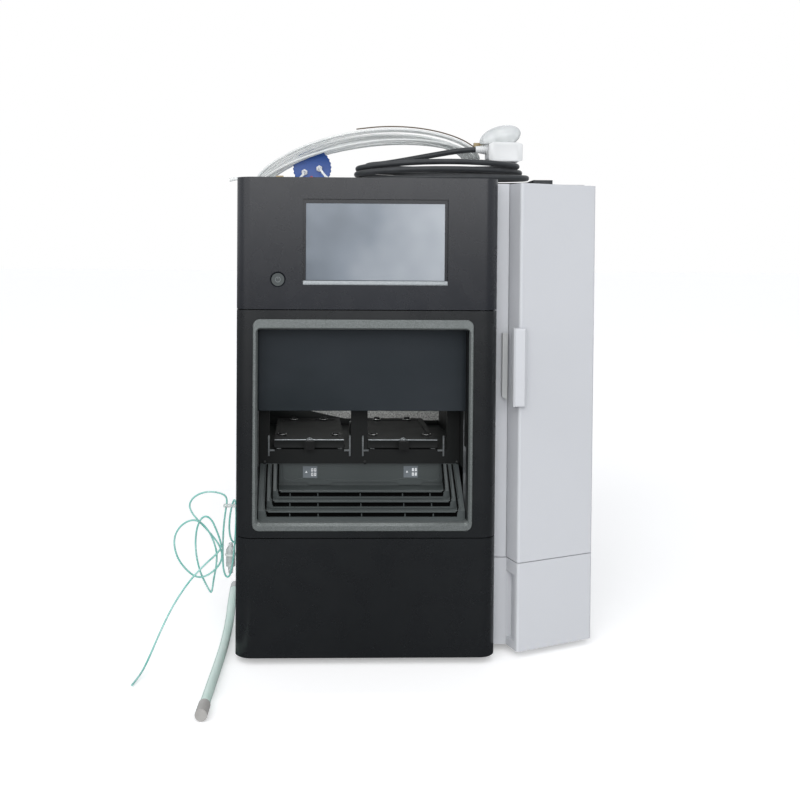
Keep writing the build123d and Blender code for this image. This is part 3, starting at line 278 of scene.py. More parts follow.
def expandedFoam(name, settings):
    # closed-cell foam board cut to size: pale, dry, with torn cells that speckle it
    made = newMaterial(name, {"Specular IOR Level": 0.2})
    tree = made[1]
    where = addNode(tree, "ShaderNodeTexCoord", output="Object")
    cells = addNode(tree, "ShaderNodeTexVoronoi", {"Vector": where, "Scale": perMetre(settings["cell"])})
    speckle = addNode(tree, "ShaderNodeTexNoise", {"Vector": where, "Scale": perMetre(2), "Detail": 3})
    return surface(made, settings, speckle, (0.3, 0.7), cells, (0.8, 0.95), (cells, 0.8, 0.001))


def circuitBoard(name, settings):
    # glass-fibre laminate under green solder mask: glossy, with raised copper tracks
    # showing darker edges
    made = newMaterial(name, {"Specular IOR Level": 0.5, "Coat Weight": 0.3})
    tree = made[1]
    where = addNode(tree, "ShaderNodeTexCoord", output="Object")
    tracks = addNode(
        tree, "ShaderNodeTexBrick",
        {"Vector": where, "Scale": perMetre(16), "Mortar Size": 0.03}, "Fac",
    )
    mask = addNode(tree, "ShaderNodeTexNoise", {"Vector": where, "Scale": perMetre(11), "Detail": 3})
    return surface(made, settings, tracks, (0.0, 1.0), mask, (0.3, 0.5), (tracks, 0.3, 0.0003))


# Each row: the finish, its material, then the settings that the columns name

finishFamilies = [
    (mouldedPlastic, ("dark", "light", "rough", "grain", "relief", "specular"), [
        ("blackPanel", "glossBlackAbs", "#121416", "#191b1d", 0.27, 0.7, 0.12),
        ("displayPanel", "glossBlackAbsDisplay", "#12141a", "#191c23", 0.26, 0.7, 0.1),
        ("darkPlastic", "blackPolyamide", "#0b0d0d", "#121514", 0.5, 0.9, 0.25, 0.26),
        ("darkGrey", "greyPolycarbonate", "#3a4040", "#484e4e", 0.42, 0.8),
        ("trayMetal", "blackCoatedTray", "#0a0b0b", "#111212", 0.5, 0.6, 0.25, 0.22),
        ("peek", "tanPeekFitting", "#8d7a55", "#a8946b", 0.35, 0.6),
        ("capillary", "brownCapillary", "#4a3b2c", "#6a5640", 0.3, 1),
        ("blueCap", "bluePolypropylene", "#143f86", "#1c57ab", 0.34, 1),
        ("redPlug", "redPolypropylene", "#b93a34", "#d4554c", 0.35, 1),
        ("whiteNylon", "whiteNylon", "#dcdddb", "#eeeeec", 0.4, 1),
        ("plugWhite", "whitePvcPlug", "#d3d5d6", "#e4e5e5", 0.36, 1),
        ("chip", "epoxyChipCase", "#1a1b1c", "#242526", 0.45, 0.5),
        ("lightGrey", "lightGreyAbs", "#b6b8b8", "#c9cbca", 0.42, 0.8),
    ]),
    (sprayedPaint, ("dark", "light", "rough", "peel", "coat"), [
        ("whitePanel", "whiteEnamelledCover", "#c3c5c9", "#cdcfd3", 0.42, 1.1, 0.1),
        ("casePaint", "powderCoatedSheet", "#bcbebf", "#c8c9ca", 0.5, 1.4, 0.0),
        ("iconPlate", "greyPolyesterLabel", "#666d72", "#70777c", 0.45, 0.9, 0.0),
        ("iconMark", "whitePrintedInk", "#dfe2e4", "#ebedee", 0.5, 0.6, 0.0),
        ("ratingPlate", "satinPolyesterPlate", "#d2d4d5", "#dcdedf", 0.4, 0.8, 0.1),
    ]),
    (softRubber, ("dark", "light", "sheen", "specular"), [
        ("rubber", "footRubber", "#191a1b", "#222324", 0.1),
        ("cordRubber", "softPvcSheath", "#1c1f22", "#2a2d30", 0.15),
        # near black: painted shade behind the apron slots and under the step lips
        ("paintedShadowBlack", "paintedShadowBlack", "#020202", "#050505", 0.0, 0.04),
        ("greyRubber", "greySiliconeSleeve", "#a19f9c", "#b0aeab", 0.05),
    ]),
    (extrudedTubing, ("dark", "light", "clear", "rough", "relief"), [
        ("tealTube", "tealNylonTubing", "#62c2b4", "#bfe9e3", 0.25, 0.2),
        ("clearTube", "clearFluoropolymerTubing", "#eef2f1", "#fdfefd", 0.3, 0.14),
        ("hose", "drainHosePvc", "#d6efe6", "#eaf9f3", 0.2, 0.3),
        ("clearPlastic", "clearPolypropylene", "#d9e1e0", "#f4f7f6", 0.4, 0.18),
        ("clearSleeve", "clearVinylSleeve", "#e3e7e8", "#f6f8f8", 0.45, 0.1, 0.03),
    ]),
    (metallicLacquer, ("dark", "light", "edge", "opening"), [  # opening: where the edge colour is, in mm; that near-black edge is painted shade
        ("silverTrim", "greyLacqueredTrimWithPaintedShade", "#666b6a", "#7f8483", "#141617", {
            "X": (-190.2, 53.6), "Z": (167, 388),
        }),
        # bright silver: the real finish of the power symbol and tray loops, a painted highlight on the screen
        # ledge and tray edges
        ("brightTrimAndHighlight", "silverLacquerAndPaintedHighlight", "#7f8487", "#989d9f"),
    ]),
    (brushedMetal, ("dark", "light", "rough", "line", "stretch"), [
        ("steel", "brushedStainless", "#9ea2a3", "#c9cccc", 0.28, 4, (0.05, 1, 1)),
        ("screwSteel", "nickelPlatedScrew", "#a4a6a6", "#cfd0ce", 0.3, 3, (1, 1, 1)),
        ("aluminium", "milledAluminium", "#b1b4b6", "#d2d4d5", 0.36, 4, (1, 1, 0.05)),
    ]),
    (galvanisedSheet, ("dark", "light", "spangle"), [
        ("chassisSteel", "galvanisedSheet", "#8b9092", "#b9bdbf", 11),
    ]),
    (smokedAcrylic, ("dark", "middle", "light"), [
        ("smokedPane", "smokedAcrylic", "#1f2528", "#2d3236", "#35393d"),
    ]),
    (etchedGlass, ("dark", "middle", "light"), [
        ("screen", "etchedTouchGlass", "#586069", "#7b838c", "#acb1b7"),
    ]),
    (expandedFoam, ("dark", "light", "cell"), [("foam", "polyethyleneFoam", "#7b7d7c", "#d2d3d0", 2.4)]),
    (circuitBoard, ("dark", "light"), [("board", "circuitBoard", "#1d5a34", "#2f7a4b")]),
]

finishes = {}
for make, columns, rows in finishFamilies:
    for finish, material, *values in rows:
        finishes[finish] = make(material, dict(zip(columns, values)))

dressing = {
    "displayPanel": ["display_bezel"],
    "blackPanel": ["lower_front_cover", "sampler_bezel"],
    "whitePanel": ["door_grip", "door_jamb", "right_door", "right_lower_panel"],
    "casePaint": ["left_side_cover", "rear_panel", "right_side_cover", "top_cover"],
    "silverTrim": ["window_trim"],
    # painted highlight: the screen's lower ledge takes bright silver where its chamfer catches light
    "brightTrimAndHighlight": ["screen_ledge"],
    "smokedPane": ["sampler_door"],
    "screen": ["touch_screen"],
    "chassisSteel": ["base_frame", "front_plate"],
    "darkPlastic": [
        "door_guides", "fan_frame", "fan_rotor", "mains_inlet", "mains_rocker",
        "mains_switch_frame", "power_switch", "purge_knob", "rack_bay", "side_ports",
    ],
    "darkGrey": ["column_clips", "louvre_apron", "needle_arm", "power_button", "pump_unit"],
    "trayMetal": ["left_rack_tray", "right_rack_tray"],
    "steel": [
        "analytical_column", "hinge_tabs", "injection_port", "needle", "needle_rail",
        "power_supply", "pump_heads", "rack_guides",
    ],
    "foam": ["insulation_panel"],
    "aluminium": ["heater_block", "oven_housing"],
    "rubber": ["feet"],
    "greyRubber": ["hose_sleeve"],
    "board": ["main_board"],
    "lightGrey": [
        "degasser", "detector_housing", "door_liner", "flow_cell", "hose_elbow", "latch_plate",
    ],
}


def dressNodes(settings):
    for finish, names in settings.items():
        for name in names:
            slots = nodes[name].material_slots
            if not slots:
                nodes[name].data.materials.append(finishes[finish])
            for held in slots:
                held.material = finishes[finish]


dressNodes(dressing)
print("nodes dressed")

# Helpers for new pieces


def millimetres(*point):
    return Vector(point) / 1000


def pickNothing():
    bpy.ops.object.select_all(action="DESELECT")


def makeActive(piece):
    pickNothing()
    piece.select_set(True)
    bpy.context.view_layer.objects.active = piece


def settle(piece):  # its place, turn and size go into its mesh
    makeActive(piece)
    bpy.ops.object.transform_apply(location=True, rotation=True, scale=True)


def addBlock(name, low, high):  # corners in millimetres
    pickNothing()
    low, high = millimetres(*low), millimetres(*high)
    bpy.ops.mesh.primitive_cube_add(size=1, location=(low + high) / 2)
    piece = bpy.context.object
    piece.name = name
    piece.scale = high - low
    settle(piece)
    return piece


def addRod(name, middle, radius, depth, axis="Z", sides=32):  # in millimetres
    pickNothing()
    turns = {"X": (0, math.pi / 2, 0), "Y": (math.pi / 2, 0, 0), "Z": (0, 0, 0)}
    bpy.ops.mesh.primitive_cylinder_add(
        vertices=sides, radius=radius / 1000, depth=depth / 1000,
        location=millimetres(*middle), rotation=turns[axis],
    )
    piece = bpy.context.object
    piece.name = name
    settle(piece)
    return piece


def facing(direction, least=0.95, where=None):
    way = Vector(direction)
    return lambda face: face.normal.dot(way) > least and (where is None or where(face.center))


def pickFaces(piece, wanted):
    makeActive(piece)
    bpy.ops.object.mode_set(mode="EDIT")
    bpy.ops.mesh.select_mode(type="FACE")
    bpy.ops.mesh.select_all(action="DESELECT")
    bpy.ops.object.mode_set(mode="OBJECT")
    for face in piece.data.polygons:
        face.select = wanted(face)
    bpy.ops.object.mode_set(mode="EDIT")


def leaveEdit():
    bpy.ops.object.mode_set(mode="OBJECT")


def insetFaces(piece, wanted, thickness, depth=0, each=False):  # in millimetres; depth below 0 goes inwards
    pickFaces(piece, wanted)
    bpy.ops.mesh.inset(thickness=thickness / 1000, depth=depth / 1000, use_individual=each)
    leaveEdit()


def pushFaces(piece, wanted, distance, taper=1.0):
    # Pulls the wanted faces out by a distance in millimetres and tapers their end
    pickFaces(piece, wanted)
    bpy.ops.mesh.extrude_region_shrink_fatten(TRANSFORM_OT_shrink_fatten={"value": distance / 1000})
    if taper != 1.0:
        bpy.ops.transform.resize(value=(taper, taper, taper))
    leaveEdit()


def ribSides(piece, axis, thickness, depth):  # raises every other side face; millimetres
    sides = [face.index for face in piece.data.polygons if abs(face.normal.dot(Vector(axis))) < 0.3]
    ribbed = set(sides[::2])
    insetFaces(piece, lambda face: face.index in ribbed, thickness, depth, each=True)


def bevelPiece(piece, width, segments=2, angle=35):  # width in millimetres
    makeActive(piece)
    modifier = piece.modifiers.new("bevel", "BEVEL")
    modifier.width = width / 1000
    modifier.segments = segments
    modifier.limit_method = "ANGLE"
    modifier.angle_limit = math.radians(angle)
    bpy.ops.object.modifier_apply(modifier="bevel")
    bpy.ops.object.shade_smooth_by_angle(angle=math.radians(32))


def cutAway(piece, cutter):
    makeActive(piece)
    cut = piece.modifiers.new("cut", "BOOLEAN")
    cut.operation = "DIFFERENCE"
    cut.solver = "EXACT"
    cut.object = cutter
    bpy.ops.object.modifier_apply(modifier="cut")
    bpy.data.objects.remove(cutter)


def joinPieces(name, pieces):
    pickNothing()
    for piece in pieces:
        piece.select_set(True)
    bpy.context.view_layer.objects.active = pieces[0]
    bpy.ops.object.join()
    whole = bpy.context.object
    whole.name = name
    return whole


def copyPiece(piece, name, shift=(0, 0, 0), turn=None):  # shift in millimetres
    twin = piece.copy()
    twin.data = piece.data.copy()
    twin.name = name
    bpy.context.scene.collection.objects.link(twin)
    twin.location = millimetres(*shift)
    if turn is not None:
        twin.rotation_euler = turn
    settle(twin)
    return twin


def finishPiece(piece, finish, body="chassis"):
    piece.data.materials.clear()
    piece.data.materials.append(finishes[finish])
    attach(piece, body)
    return piece


# Helpers for cords and tubes


def tubeCurve(name, points, radius, finish, body="chassis"):
    # A round tube on a smooth line through points in metres; radius in metres
    data = bpy.data.curves.new(name, "CURVE")
    data.dimensions = "3D"
    data.bevel_depth = radius
    data.bevel_resolution = 4
    data.resolution_u = 6
    data.use_fill_caps = True
    line = data.splines.new("NURBS")
    line.points.add(len(points) - 1)
    for control, point in zip(line.points, points):
        control.co = (*point, 1)
    line.order_u = 3
    line.use_endpoint_u = True
    data.materials.append(finishes[finish])
    piece = bpy.data.objects.new(name, data)
    bpy.context.scene.collection.objects.link(piece)
    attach(piece, body)
    return piece


def fixedTube(name, points, radius, finish, body="chassis"):
    # A tube held at both ends inside the case, made a mesh; millimetres
    piece = tubeCurve(name, [millimetres(*point) for point in points], radius / 1000, finish, body)
    makeActive(piece)
    bpy.ops.object.convert(target="MESH")
    bpy.ops.object.shade_smooth_by_angle(angle=math.radians(50))
    return bpy.context.object

# Drain hose: out of the elbow, down to the bench and along it towards the viewer

hoseSettings = {
    "diameter": 0.011,
    "length": 0.277,
    "points": [
        (-229, -78, 24), (-229.3, -108, 20.5), (-229.1, -140, 9.8), (-229.8, -175, 6.1),
        (-230.6, -220, 6.4), (-233, -265, 6.2), (-235.8, -310, 6.4), (-238.2, -353, 6.6),
    ],
}


def addDrainHose(settings):
    points = [millimetres(*point) for point in settings["points"]]
    hose = tubeCurve("drainHoseTube", points, settings["diameter"] / 2, "hose")
    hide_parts("drain_hose")


addDrainHose(hoseSettings)

# Teal sampling line: a narrow hank and three loose loops beside the case, then down to the bench

tealSettings = {
    "diameter": 0.0022,
    "length": 0.951,
    "points": [
        # out of the port and up into the narrow hank
        (-215, -192, 123), (-220, -192, 123.5), (-224, -193, 128), (-226, -194, 138),
        (-226, -195, 150), (-224.5, -195.5, 163), (-222, -196, 174), (-219.5, -196.5, 179),
        (-218, -197, 172), (-217.5, -197.5, 158), (-218, -198, 140), (-219.5, -198.5, 120),
        (-221.5, -199, 100), (-224.5, -199, 86), (-229, -198.5, 84), (-232.5, -198, 92),
        (-233.5, -197.5, 108), (-233.5, -197, 128), (-232.5, -196.5, 148),
        (-230.5, -196, 164), (-228.5, -195, 176), (-231, -194.5, 183),
        # upper loop
        (-242, -194, 186.5), (-254, -193.5, 186.8), (-265, -193, 183), (-272, -192.6, 177),
        (-275, -192.4, 169), (-271, -192.6, 160), (-264, -193.2, 152), (-254, -194, 142),
        (-244, -195, 131), (-237, -196, 121), (-234, -197, 111), (-236, -198.5, 102),
        # round loop on the left
        (-241, -199.5, 95), (-250, -200, 88), (-259, -200.2, 84.5), (-268, -200.3, 86.5),
        (-278, -200.3, 95), (-287, -200.2, 107), (-291.5, -200, 121), (-291.5, -199.6, 134),
        (-286, -199, 145), (-277, -198.2, 152), (-267, -197.6, 154), (-258, -197, 149),
        (-250, -196.6, 139), (-244, -196.2, 126), (-240.5, -196, 112), (-241.5, -195.8, 96),
        # narrow loop with the kink at its foot
        (-244.5, -195.8, 81), (-246, -196, 69), (-247.5, -196.4, 64.5), (-250, -196.8, 68.5),
        (-254.5, -197.2, 77), (-260.5, -197.6, 90), (-265, -198, 108), (-266.5, -198.6, 126),
        (-265, -199.4, 143), (-260.5, -200.4, 155), (-254, -201.2, 160), (-246.5, -201.8, 155.5),
        (-240.5, -202.2, 142), (-236, -202.6, 130), (-234.5, -203, 122), (-240, -204, 114.4),
        # down to the bench
        (-252, -212, 106), (-270.5, -218, 88), (-289, -226, 61.5), (-302, -241, 35.5),
        (-311, -260, 14.5), (-317.5, -280, 3.4), (-323.3, -299, 1.4),
    ],
}


def addTealLine(settings):
    points = [millimetres(*point) for point in settings["points"]]
    line = tubeCurve("tealTube", points, settings["diameter"] / 2, "tealTube")
    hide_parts("teal_coil", "teal_tail")


addTealLine(tealSettings)

# Clear syringe-style fitting that hangs in the teal hank

fittingSettings = {
    "x": -224.6,
    "y": -189.2,
    "top": 117,
    "barrel": 5.6,
    "tape": ((-233.2, -198.6, 168.5), (-216.2, -193.4, 172.5)),
}


def addTealFitting(settings):
    x, y, top = settings["x"], settings["y"], settings["top"]
    barrel = addRod("barrel", (x, y, top - 12), settings["barrel"], 20, "Z", 28)
    pushFaces(barrel, facing((0, 0, 1)), 5, 0.45)
    pushFaces(barrel, facing((0, 0, 1), 0.95, lambda c: c.z > (top + 1) / 1000), 3)
    insetFaces(barrel, facing((0, 0, -1)), 2.2)
    pushFaces(barrel, facing((0, 0, -1), 0.95, lambda c: abs(c.x - x / 1000) < 0.001), 9, 0.75)
    bevelPiece(barrel, 0.5)
    finishPiece(barrel, "clearPlastic")
    collar = addRod("collar", (x, y, top - 8), settings["barrel"] + 1.2, 2.2, "Z", 28)
    bevelPiece(collar, 0.6, 3)
    finishPiece(collar, "whiteNylon")
    core = addRod("core", (x, y, top - 13), 3.1, 12, "Z", 20)
    pushFaces(core, facing((0, 0, 1)), 4, 0.3)
    bevelPiece(core, 0.3)
    finishPiece(core, "darkGrey")
    tape = addBlock("hankTape", *settings["tape"])
    pickFaces(tape, lambda face: True)
    bpy.ops.mesh.subdivide(number_cuts=2)
    leaveEdit()
    bevelPiece(tape, 1.6, 3)
    finishPiece(tape, "clearPlastic")


addTealFitting(fittingSettings)

# Mains lead: loose turns on the top cover, rising at the end to the plug that lies on them

leadSettings = {
    "diameter": 0.0072,
    "length": 1.84,
    "start": [
        (158, -58, 570), (150, -64, 567.5), (146.5, -80, 565.5), (147, -100, 564.9), (147.5, -120, 564.8),
    ],
    "turns": [  # x, y, z, half width, half depth, lean
        (36, -137, 564.8, 112, 40, 0.03),
        (41, -138, 572.2, 105, 36, -0.06),
        (28, -137, 579.6, 112, 38, 0.06),
        (37, -136, 587.0, 97, 35, -0.05),
    ],
    "bow": [0, 3, 5, 9],  # how far the front of each turn springs up
    "end": [
        (-52, -128, 589.6), (-36, -117, 592), (-8, -116, 597), (24, -122, 602.5),
        (56, -131, 607.5), (76, -136.5, 609), (86, -137, 609),
    ],
}


def turnPoints(turns, bow, perTurn=14, extra=0):
    # Points on loose oval turns, each lying on the last
    points = []
    for index in range((len(turns) - 1) * perTurn + 1 + extra):
        turn, step = divmod(index, perTurn)
        here = turns[min(turn, len(turns) - 1)]
        after = turns[min(turn + 1, len(turns) - 1)]
        share = step / perTurn
        x, y, z, wide, deep, lean = [a + (b - a) * share for a, b in zip(here, after)]
        angle = math.tau * share
        across, along = wide * math.cos(angle), deep * math.sin(angle)
        lift = bow[min(turn, len(bow) - 1)] * max(0.0, -math.sin(angle)) ** 2
        points.append((
            x + across * math.cos(lean) - along * math.sin(lean),
            y + across * math.sin(lean) + along * math.cos(lean),
            z + lift,
        ))
    return points


def addMainsLead(settings):
    route = settings["start"] + turnPoints(settings["turns"], settings["bow"], 14, 7) + settings["end"]
    points = [millimetres(*point) for point in route]
    lead = tubeCurve("powerCord", points, settings["diameter"] / 2, "cordRubber")
    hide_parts("power_cord_coil")
    return lead, points


powerCord, leadPoints = addMainsLead(leadSettings)

# Moulded plug at one end of the lead, lying on its turns, and the appliance connector at the other

plugSettings = {
    "low": (98, -152, 592.5),
    "high": (132, -122, 617),
    "pins": [(109, -146), (109, -128), (121, -137)],
    "pin": (6.2, 1.6, 15),
    "relief": {
        "first": (93.2, -137, 609), "count": 6, "pitch": 2.4, "sink": 0,
        "radius": 6.4, "taper": 0.42, "thick": 1.5, "neck": ((87, -137, 609), 4.4, 15),
    },
    "sleeve": {"middle": (111, -137, 624.5), "radii": (27, 13, 14.5), "lean": -17, "foot": 616.4},
}


def addStrainRelief(name, settings, finish):
    # Rings that shrink away from the body, on a neck round the lead
    x, y, z = settings["first"]
    rings = []
    for index in range(settings["count"]):
        spot = (x - settings["pitch"] * index, y, z - settings["sink"] * index)
        radius = settings["radius"] - settings["taper"] * index
        rings.append(addRod("ring", spot, radius, settings["thick"], "X", 24))
    middle, radius, length = settings["neck"]
    rings.append(addRod("neck", middle, radius, length, "X", 24))
    relief = joinPieces(name, rings)
    bevelPiece(relief, 0.25)
    return finishPiece(relief, finish)


def addPlug(settings):
    low, high = settings["low"], settings["high"]
    middle = [(a + b) / 2 for a, b in zip(low, high)]
    body = addBlock("powerPlugBody", low, high)
    insetFaces(body, facing((1, 0, 0)), 2.5)
    pushFaces(body, facing((1, 0, 0), 0.95, lambda c: abs(c.z - middle[2] / 1000) < 0.003), 5, 0.9)
    insetFaces(body, facing((-1, 0, 0)), 3.5)
    pushFaces(body, facing((-1, 0, 0), 0.95, lambda c: abs(c.z - middle[2] / 1000) < 0.003), 4, 0.85)
    insetFaces(body, facing((0, -1, 0), 0.95, lambda c: c.x < 0.133), 3.5, -0.8)
    insetFaces(body, facing((0, 1, 0), 0.95, lambda c: c.x < 0.133), 3.5, -0.8)
    bevelPiece(body, 3.2, 4, 40)
    finishPiece(body, "plugWhite")
    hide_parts("power_plug")
    relief = addStrainRelief("powerPlugRelief", settings["relief"], "plugWhite")
    wide, thick, tall = settings["pin"]
    pins = []
    for index, (x, y) in enumerate(settings["pins"]):
        across, along = (wide, thick) if index < 2 else (thick, wide)
        pins.append(addBlock(
            "pin",
            (x - across / 2, y - along / 2, high[2] - 1), (x + across / 2, y + along / 2, high[2] + tall),
        ))
    prongs = joinPieces("powerPlugPins", pins)
    bevelPiece(prongs, 0.35, 2)
    finishPiece(prongs, "screwSteel")
    # a soft clear sleeve pulled over the pins, drooping to the left
    sleeve = settings["sleeve"]
    pickNothing()
    bpy.ops.mesh.primitive_uv_sphere_add(
        segments=40, ring_count=20, radius=0.001, location=millimetres(*sleeve["middle"]),
        rotation=(0, math.radians(sleeve["lean"]), 0),
    )
    cover = bpy.context.object
    cover.name = "pinSleeve"
    cover.scale = sleeve["radii"]
    settle(cover)
    cutAway(cover, addBlock("cutter", (60, -160, 590), (160, -110, sleeve["foot"])))
    insetFaces(cover, facing((0, 0, -1), 0.999), 1.2, 0.8)
    bevelPiece(cover, 0.4, 2, 50)
    finishPiece(cover, "clearSleeve")
    return [body, relief, prongs, cover]


connectorSettings = {
    "low": (172, -68, 561.1),
    "high": (198, -48, 577.1),
    "relief": {
        "first": (164.5, -58, 569.3), "count": 3, "pitch": 2.3, "sink": 0.1,
        "radius": 5.4, "taper": 0.4, "thick": 1.4, "neck": ((162, -58, 569.1), 4.3, 9),
    },
}


def addConnector(settings):
    low, high = settings["low"], settings["high"]
    y = (low[1] + high[1]) / 2
    body = addBlock("leadConnector", low, high)
    insetFaces(body, facing((1, 0, 0)), 1.2)
    insetFaces(body, facing((1, 0, 0), 0.95, lambda c: abs(c.y - y / 1000) < 0.003), 0.8, -4)
    insetFaces(body, facing((-1, 0, 0)), 3.2)
    pushFaces(body, facing((-1, 0, 0), 0.95, lambda c: abs(c.y - y / 1000) < 0.003), 6, 0.7)
    insetFaces(body, facing((0, 0, 1), 0.95, lambda c: c.x > 0.172), 3, -0.6)
    bevelPiece(body, 1.2, 3, 40)
    finishPiece(body, "cordRubber")
    return [body, addStrainRelief("leadConnectorRelief", settings["relief"], "cordRubber")]


leadPieces = addPlug(plugSettings) + addConnector(connectorSettings)

# Clear solvent lines: a springy hank whose left end lies on the cover and whose right end rests on the lead

hankSettings = {
    "diameter": 0.0032,
    "length": 4.24,
    "middle": (-57, -110),
    "turns": 7,
    "perTurn": 18,
    "wide": (126, 3.4),  # half width of the inner turn, and what each further turn adds
    "deep": (9.5, 3.9),
    "left": 563.3,
    "right": 597.5,
    "peak": 628,
    "lifts": [0, -9, -4, 3, -13, 1, 5.5, 0],
}


def hankPoints(settings, start=0, end=None, stride=1.0):
    # Points of the hank from one step to another
    perTurn = settings["perTurn"]
    points = []
    left, right, peak = settings["left"], settings["right"], settings["peak"]
    x0, y0 = settings["middle"]
    last = settings["turns"] * perTurn if end is None else end
    for number in range(round((last - start) / stride) + 1):
        index = start + number * stride
        turn = min(int(index // perTurn), settings["turns"])
        step = index - turn * perTurn
        share = index / perTurn
        wide = settings["wide"][0] + settings["wide"][1] * share
        deep = settings["deep"][0] + settings["deep"][1] * share
        angle = math.tau * (share + 0.5)
        along = math.cos(angle)
        lifts = settings["lifts"]
        lift = lifts[turn] + (lifts[min(turn + 1, len(lifts) - 1)] - lifts[turn]) * step / perTurn
        bow = max(0.0, math.cos(along * math.pi / 2)) ** 0.55
        base = left + (right - left) * (along + 1) / 2
        z = base + (peak - (left + right) / 2 + lift) * bow
        points.append((x0 + wide * along, y0 + deep * math.sin(angle), z))
    return points


def addClearHank(settings):
    points = [millimetres(*point) for point in hankPoints(settings)]
    tube = tubeCurve("clearTube", points, settings["diameter"] / 2, "clearTube")
    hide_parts("clear_tubing_coil")
    return tube


clearTube = addClearHank(hankSettings)

# Loose single lines beside the hank, each with its own fitting

looseLines = {
    "cornerLine": {
        "diameter": 0.0042, "length": 0.15, "finish": "clearTube", "far_end": "bare",
        "points": [
            (-231, -150, 566.5), (-222, -152, 569.3), (-212, -153.5, 566.5), (-198, -155.5, 563.6),
            (-180, -158, 563.2), (-160, -160, 563.3), (-140, -160, 563.2), (-118, -157, 563.2),
            (-100, -152, 563.2), (-84, -146, 563.2),
        ],
    },
}

# The brown capillary lies on the outer turn of the hank, from step to step of that turn
capillarySettings = {
    "diameter": 0.0016, "length": 0.159, "turn": 6, "steps": (4.2, 7.9), "stride": 0.37, "lift": 2.55,
}


def addFingerNut(name, spot, axis, finish):
    # Knurled finger-tight nut with a tapered nose
    nut = addRod(name, spot, 4.1, 9, axis, 24)
    way = {"X": (1, 0, 0), "Y": (0, 1, 0), "Z": (0, 0, 1)}[axis]
    ribSides(nut, way, 0.12, 0.3)
    insetFaces(nut, facing(way), 1.4)
    tip = millimetres(*spot) + Vector(way) * 0.0045
    pushFaces(nut, facing(way, 0.95, lambda c: (c - tip).length < 0.0008), 5, 0.6)
    bevelPiece(nut, 0.2, 1)
    return finishPiece(nut, finish)


def addLooseLines(settings):
    for name, line in settings.items():
        points = [millimetres(*point) for point in line["points"]]
        tube = tubeCurve(name, points, line["diameter"] / 2, line["finish"])


def addCapillary(settings, hank):
    first = settings["turn"] * hank["perTurn"]
    start, end = settings["steps"]
    route = hankPoints(hank, first + start, first + end, settings["stride"])
    points = [millimetres(x, y, z + settings["lift"]) for x, y, z in route]
    tube = tubeCurve("brownLine", points, settings["diameter"] / 2, "capillary")
    tip = points[-1] * 1000
    nut = addFingerNut("brownLineNut", (tip.x + 4.2, tip.y, tip.z + 0.9), "X", "peek")


addLooseLines(looseLines)
addCapillary(capillarySettings, hankSettings)
addFingerNut("tanNut", (-168, -160, 567.6), "X", "peek")

# Blue screw cap of a solvent bottle, standing on its rim among the lines

capSettings = {
    "middle": (-127.5, -109.5, 586.2),
    "radius": 24,
    "depth": 13,
    "ribs": 60,
    "nuts": [(-10, -6), (9, -1)],  # across and up from the middle of the cap
    "ends": [  # where the line out of each nut goes, down to the cover
        [(-12, -30, -12), (-20, -36, -19.6), (-32, -38, -23.2), (-44, -38, -23.4)],
        [(13, -30, -9), (21, -38, -18), (30, -42, -23.2), (40, -44, -23.4)],
    ],
}


def addSolventCap(settings):
    x, y, z = settings["middle"]
    depth = settings["depth"]
    cap = addRod("solventCap", settings["middle"], settings["radius"], depth, "Y", settings["ribs"])
    ribSides(cap, (0, 1, 0), 0.4, 0.8)
    insetFaces(cap, facing((0, -1, 0)), 2.4, -0.9)
    insetFaces(cap, facing((0, 1, 0)), 2.4, -9)
    bevelPiece(cap, 0.35, 2, 50)
    finishPiece(cap, "blueCap")
    front = y - depth / 2 + 0.9
    rings = []
    for across, up in settings["nuts"]:
        nut = addRod("nut", (x + across, front - 1.4, z + up), 4.2, 3.6, "Y", 6)
        insetFaces(nut, facing((0, -1, 0)), 1.4, 0.6)
        rings.append(nut)
    nuts = joinPieces("capNuts", rings)
    bevelPiece(nuts, 0.3, 2)
    finishPiece(nuts, "whiteNylon")
    plug = addRod("capPlug", (x - 1, front - 0.6, z - 13), 2.4, 2, "Y", 24)
    insetFaces(plug, facing((0, -1, 0)), 0.8, -0.4)
    bevelPiece(plug, 0.25, 2)
    finishPiece(plug, "redPlug")
    for index, ((across, up), ends) in enumerate(zip(settings["nuts"], settings["ends"])):
        route = [(across, -8, up), (across, -14, up + 0.4), (across * 1.1, -22, up - 1.5), *ends]
        points = [(x + dx, y + dy, z + dz) for dx, dy, dz in route]
        fixedTube(f"capLine{index}", points, 1.6, "clearTube")


addSolventCap(capSettings)
print("cords and fittings laid")

# Power symbol on the button: a raised broken ring with a bar

symbolSettings = {"x": -167.4, "z": 445.2, "ring": 2.9, "wire": 0.28, "gap": 1.1}


def addPowerSymbol(settings):
    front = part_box("power_button")[0][1] * 1000
    x, z = settings["x"], settings["z"]
    pickNothing()
    bpy.ops.mesh.primitive_torus_add(
        major_radius=settings["ring"] / 1000, minor_radius=settings["wire"] / 1000,
        major_segments=48, minor_segments=8,
        location=millimetres(x, front + 0.05, z), rotation=(math.pi / 2, 0, 0),
    )
    ring = bpy.context.object
    settle(ring)
    pickFaces(ring, lambda f: f.center.z > z / 1000 and abs(f.center.x - x / 1000) < settings["gap"] / 1000)
    bpy.ops.mesh.delete(type="FACE")
    bpy.ops.mesh.select_mode(type="EDGE")
    bpy.ops.mesh.select_non_manifold()
    bpy.ops.mesh.edge_face_add()
    leaveEdit()
    bar = addBlock("bar", (x - 0.3, front - 0.2, z + 0.7), (x + 0.3, front + 0.3, z + 3.3))
    bevelPiece(bar, 0.12)
    symbol = joinPieces("powerSymbol", [ring, bar])
    bpy.ops.object.shade_smooth_by_angle(angle=math.radians(40))
    finishPiece(symbol, "brightTrimAndHighlight", "power_button")


addPowerSymbol(symbolSettings)

# Top tread of the apron: a raised outline, and two small plates with plain marks

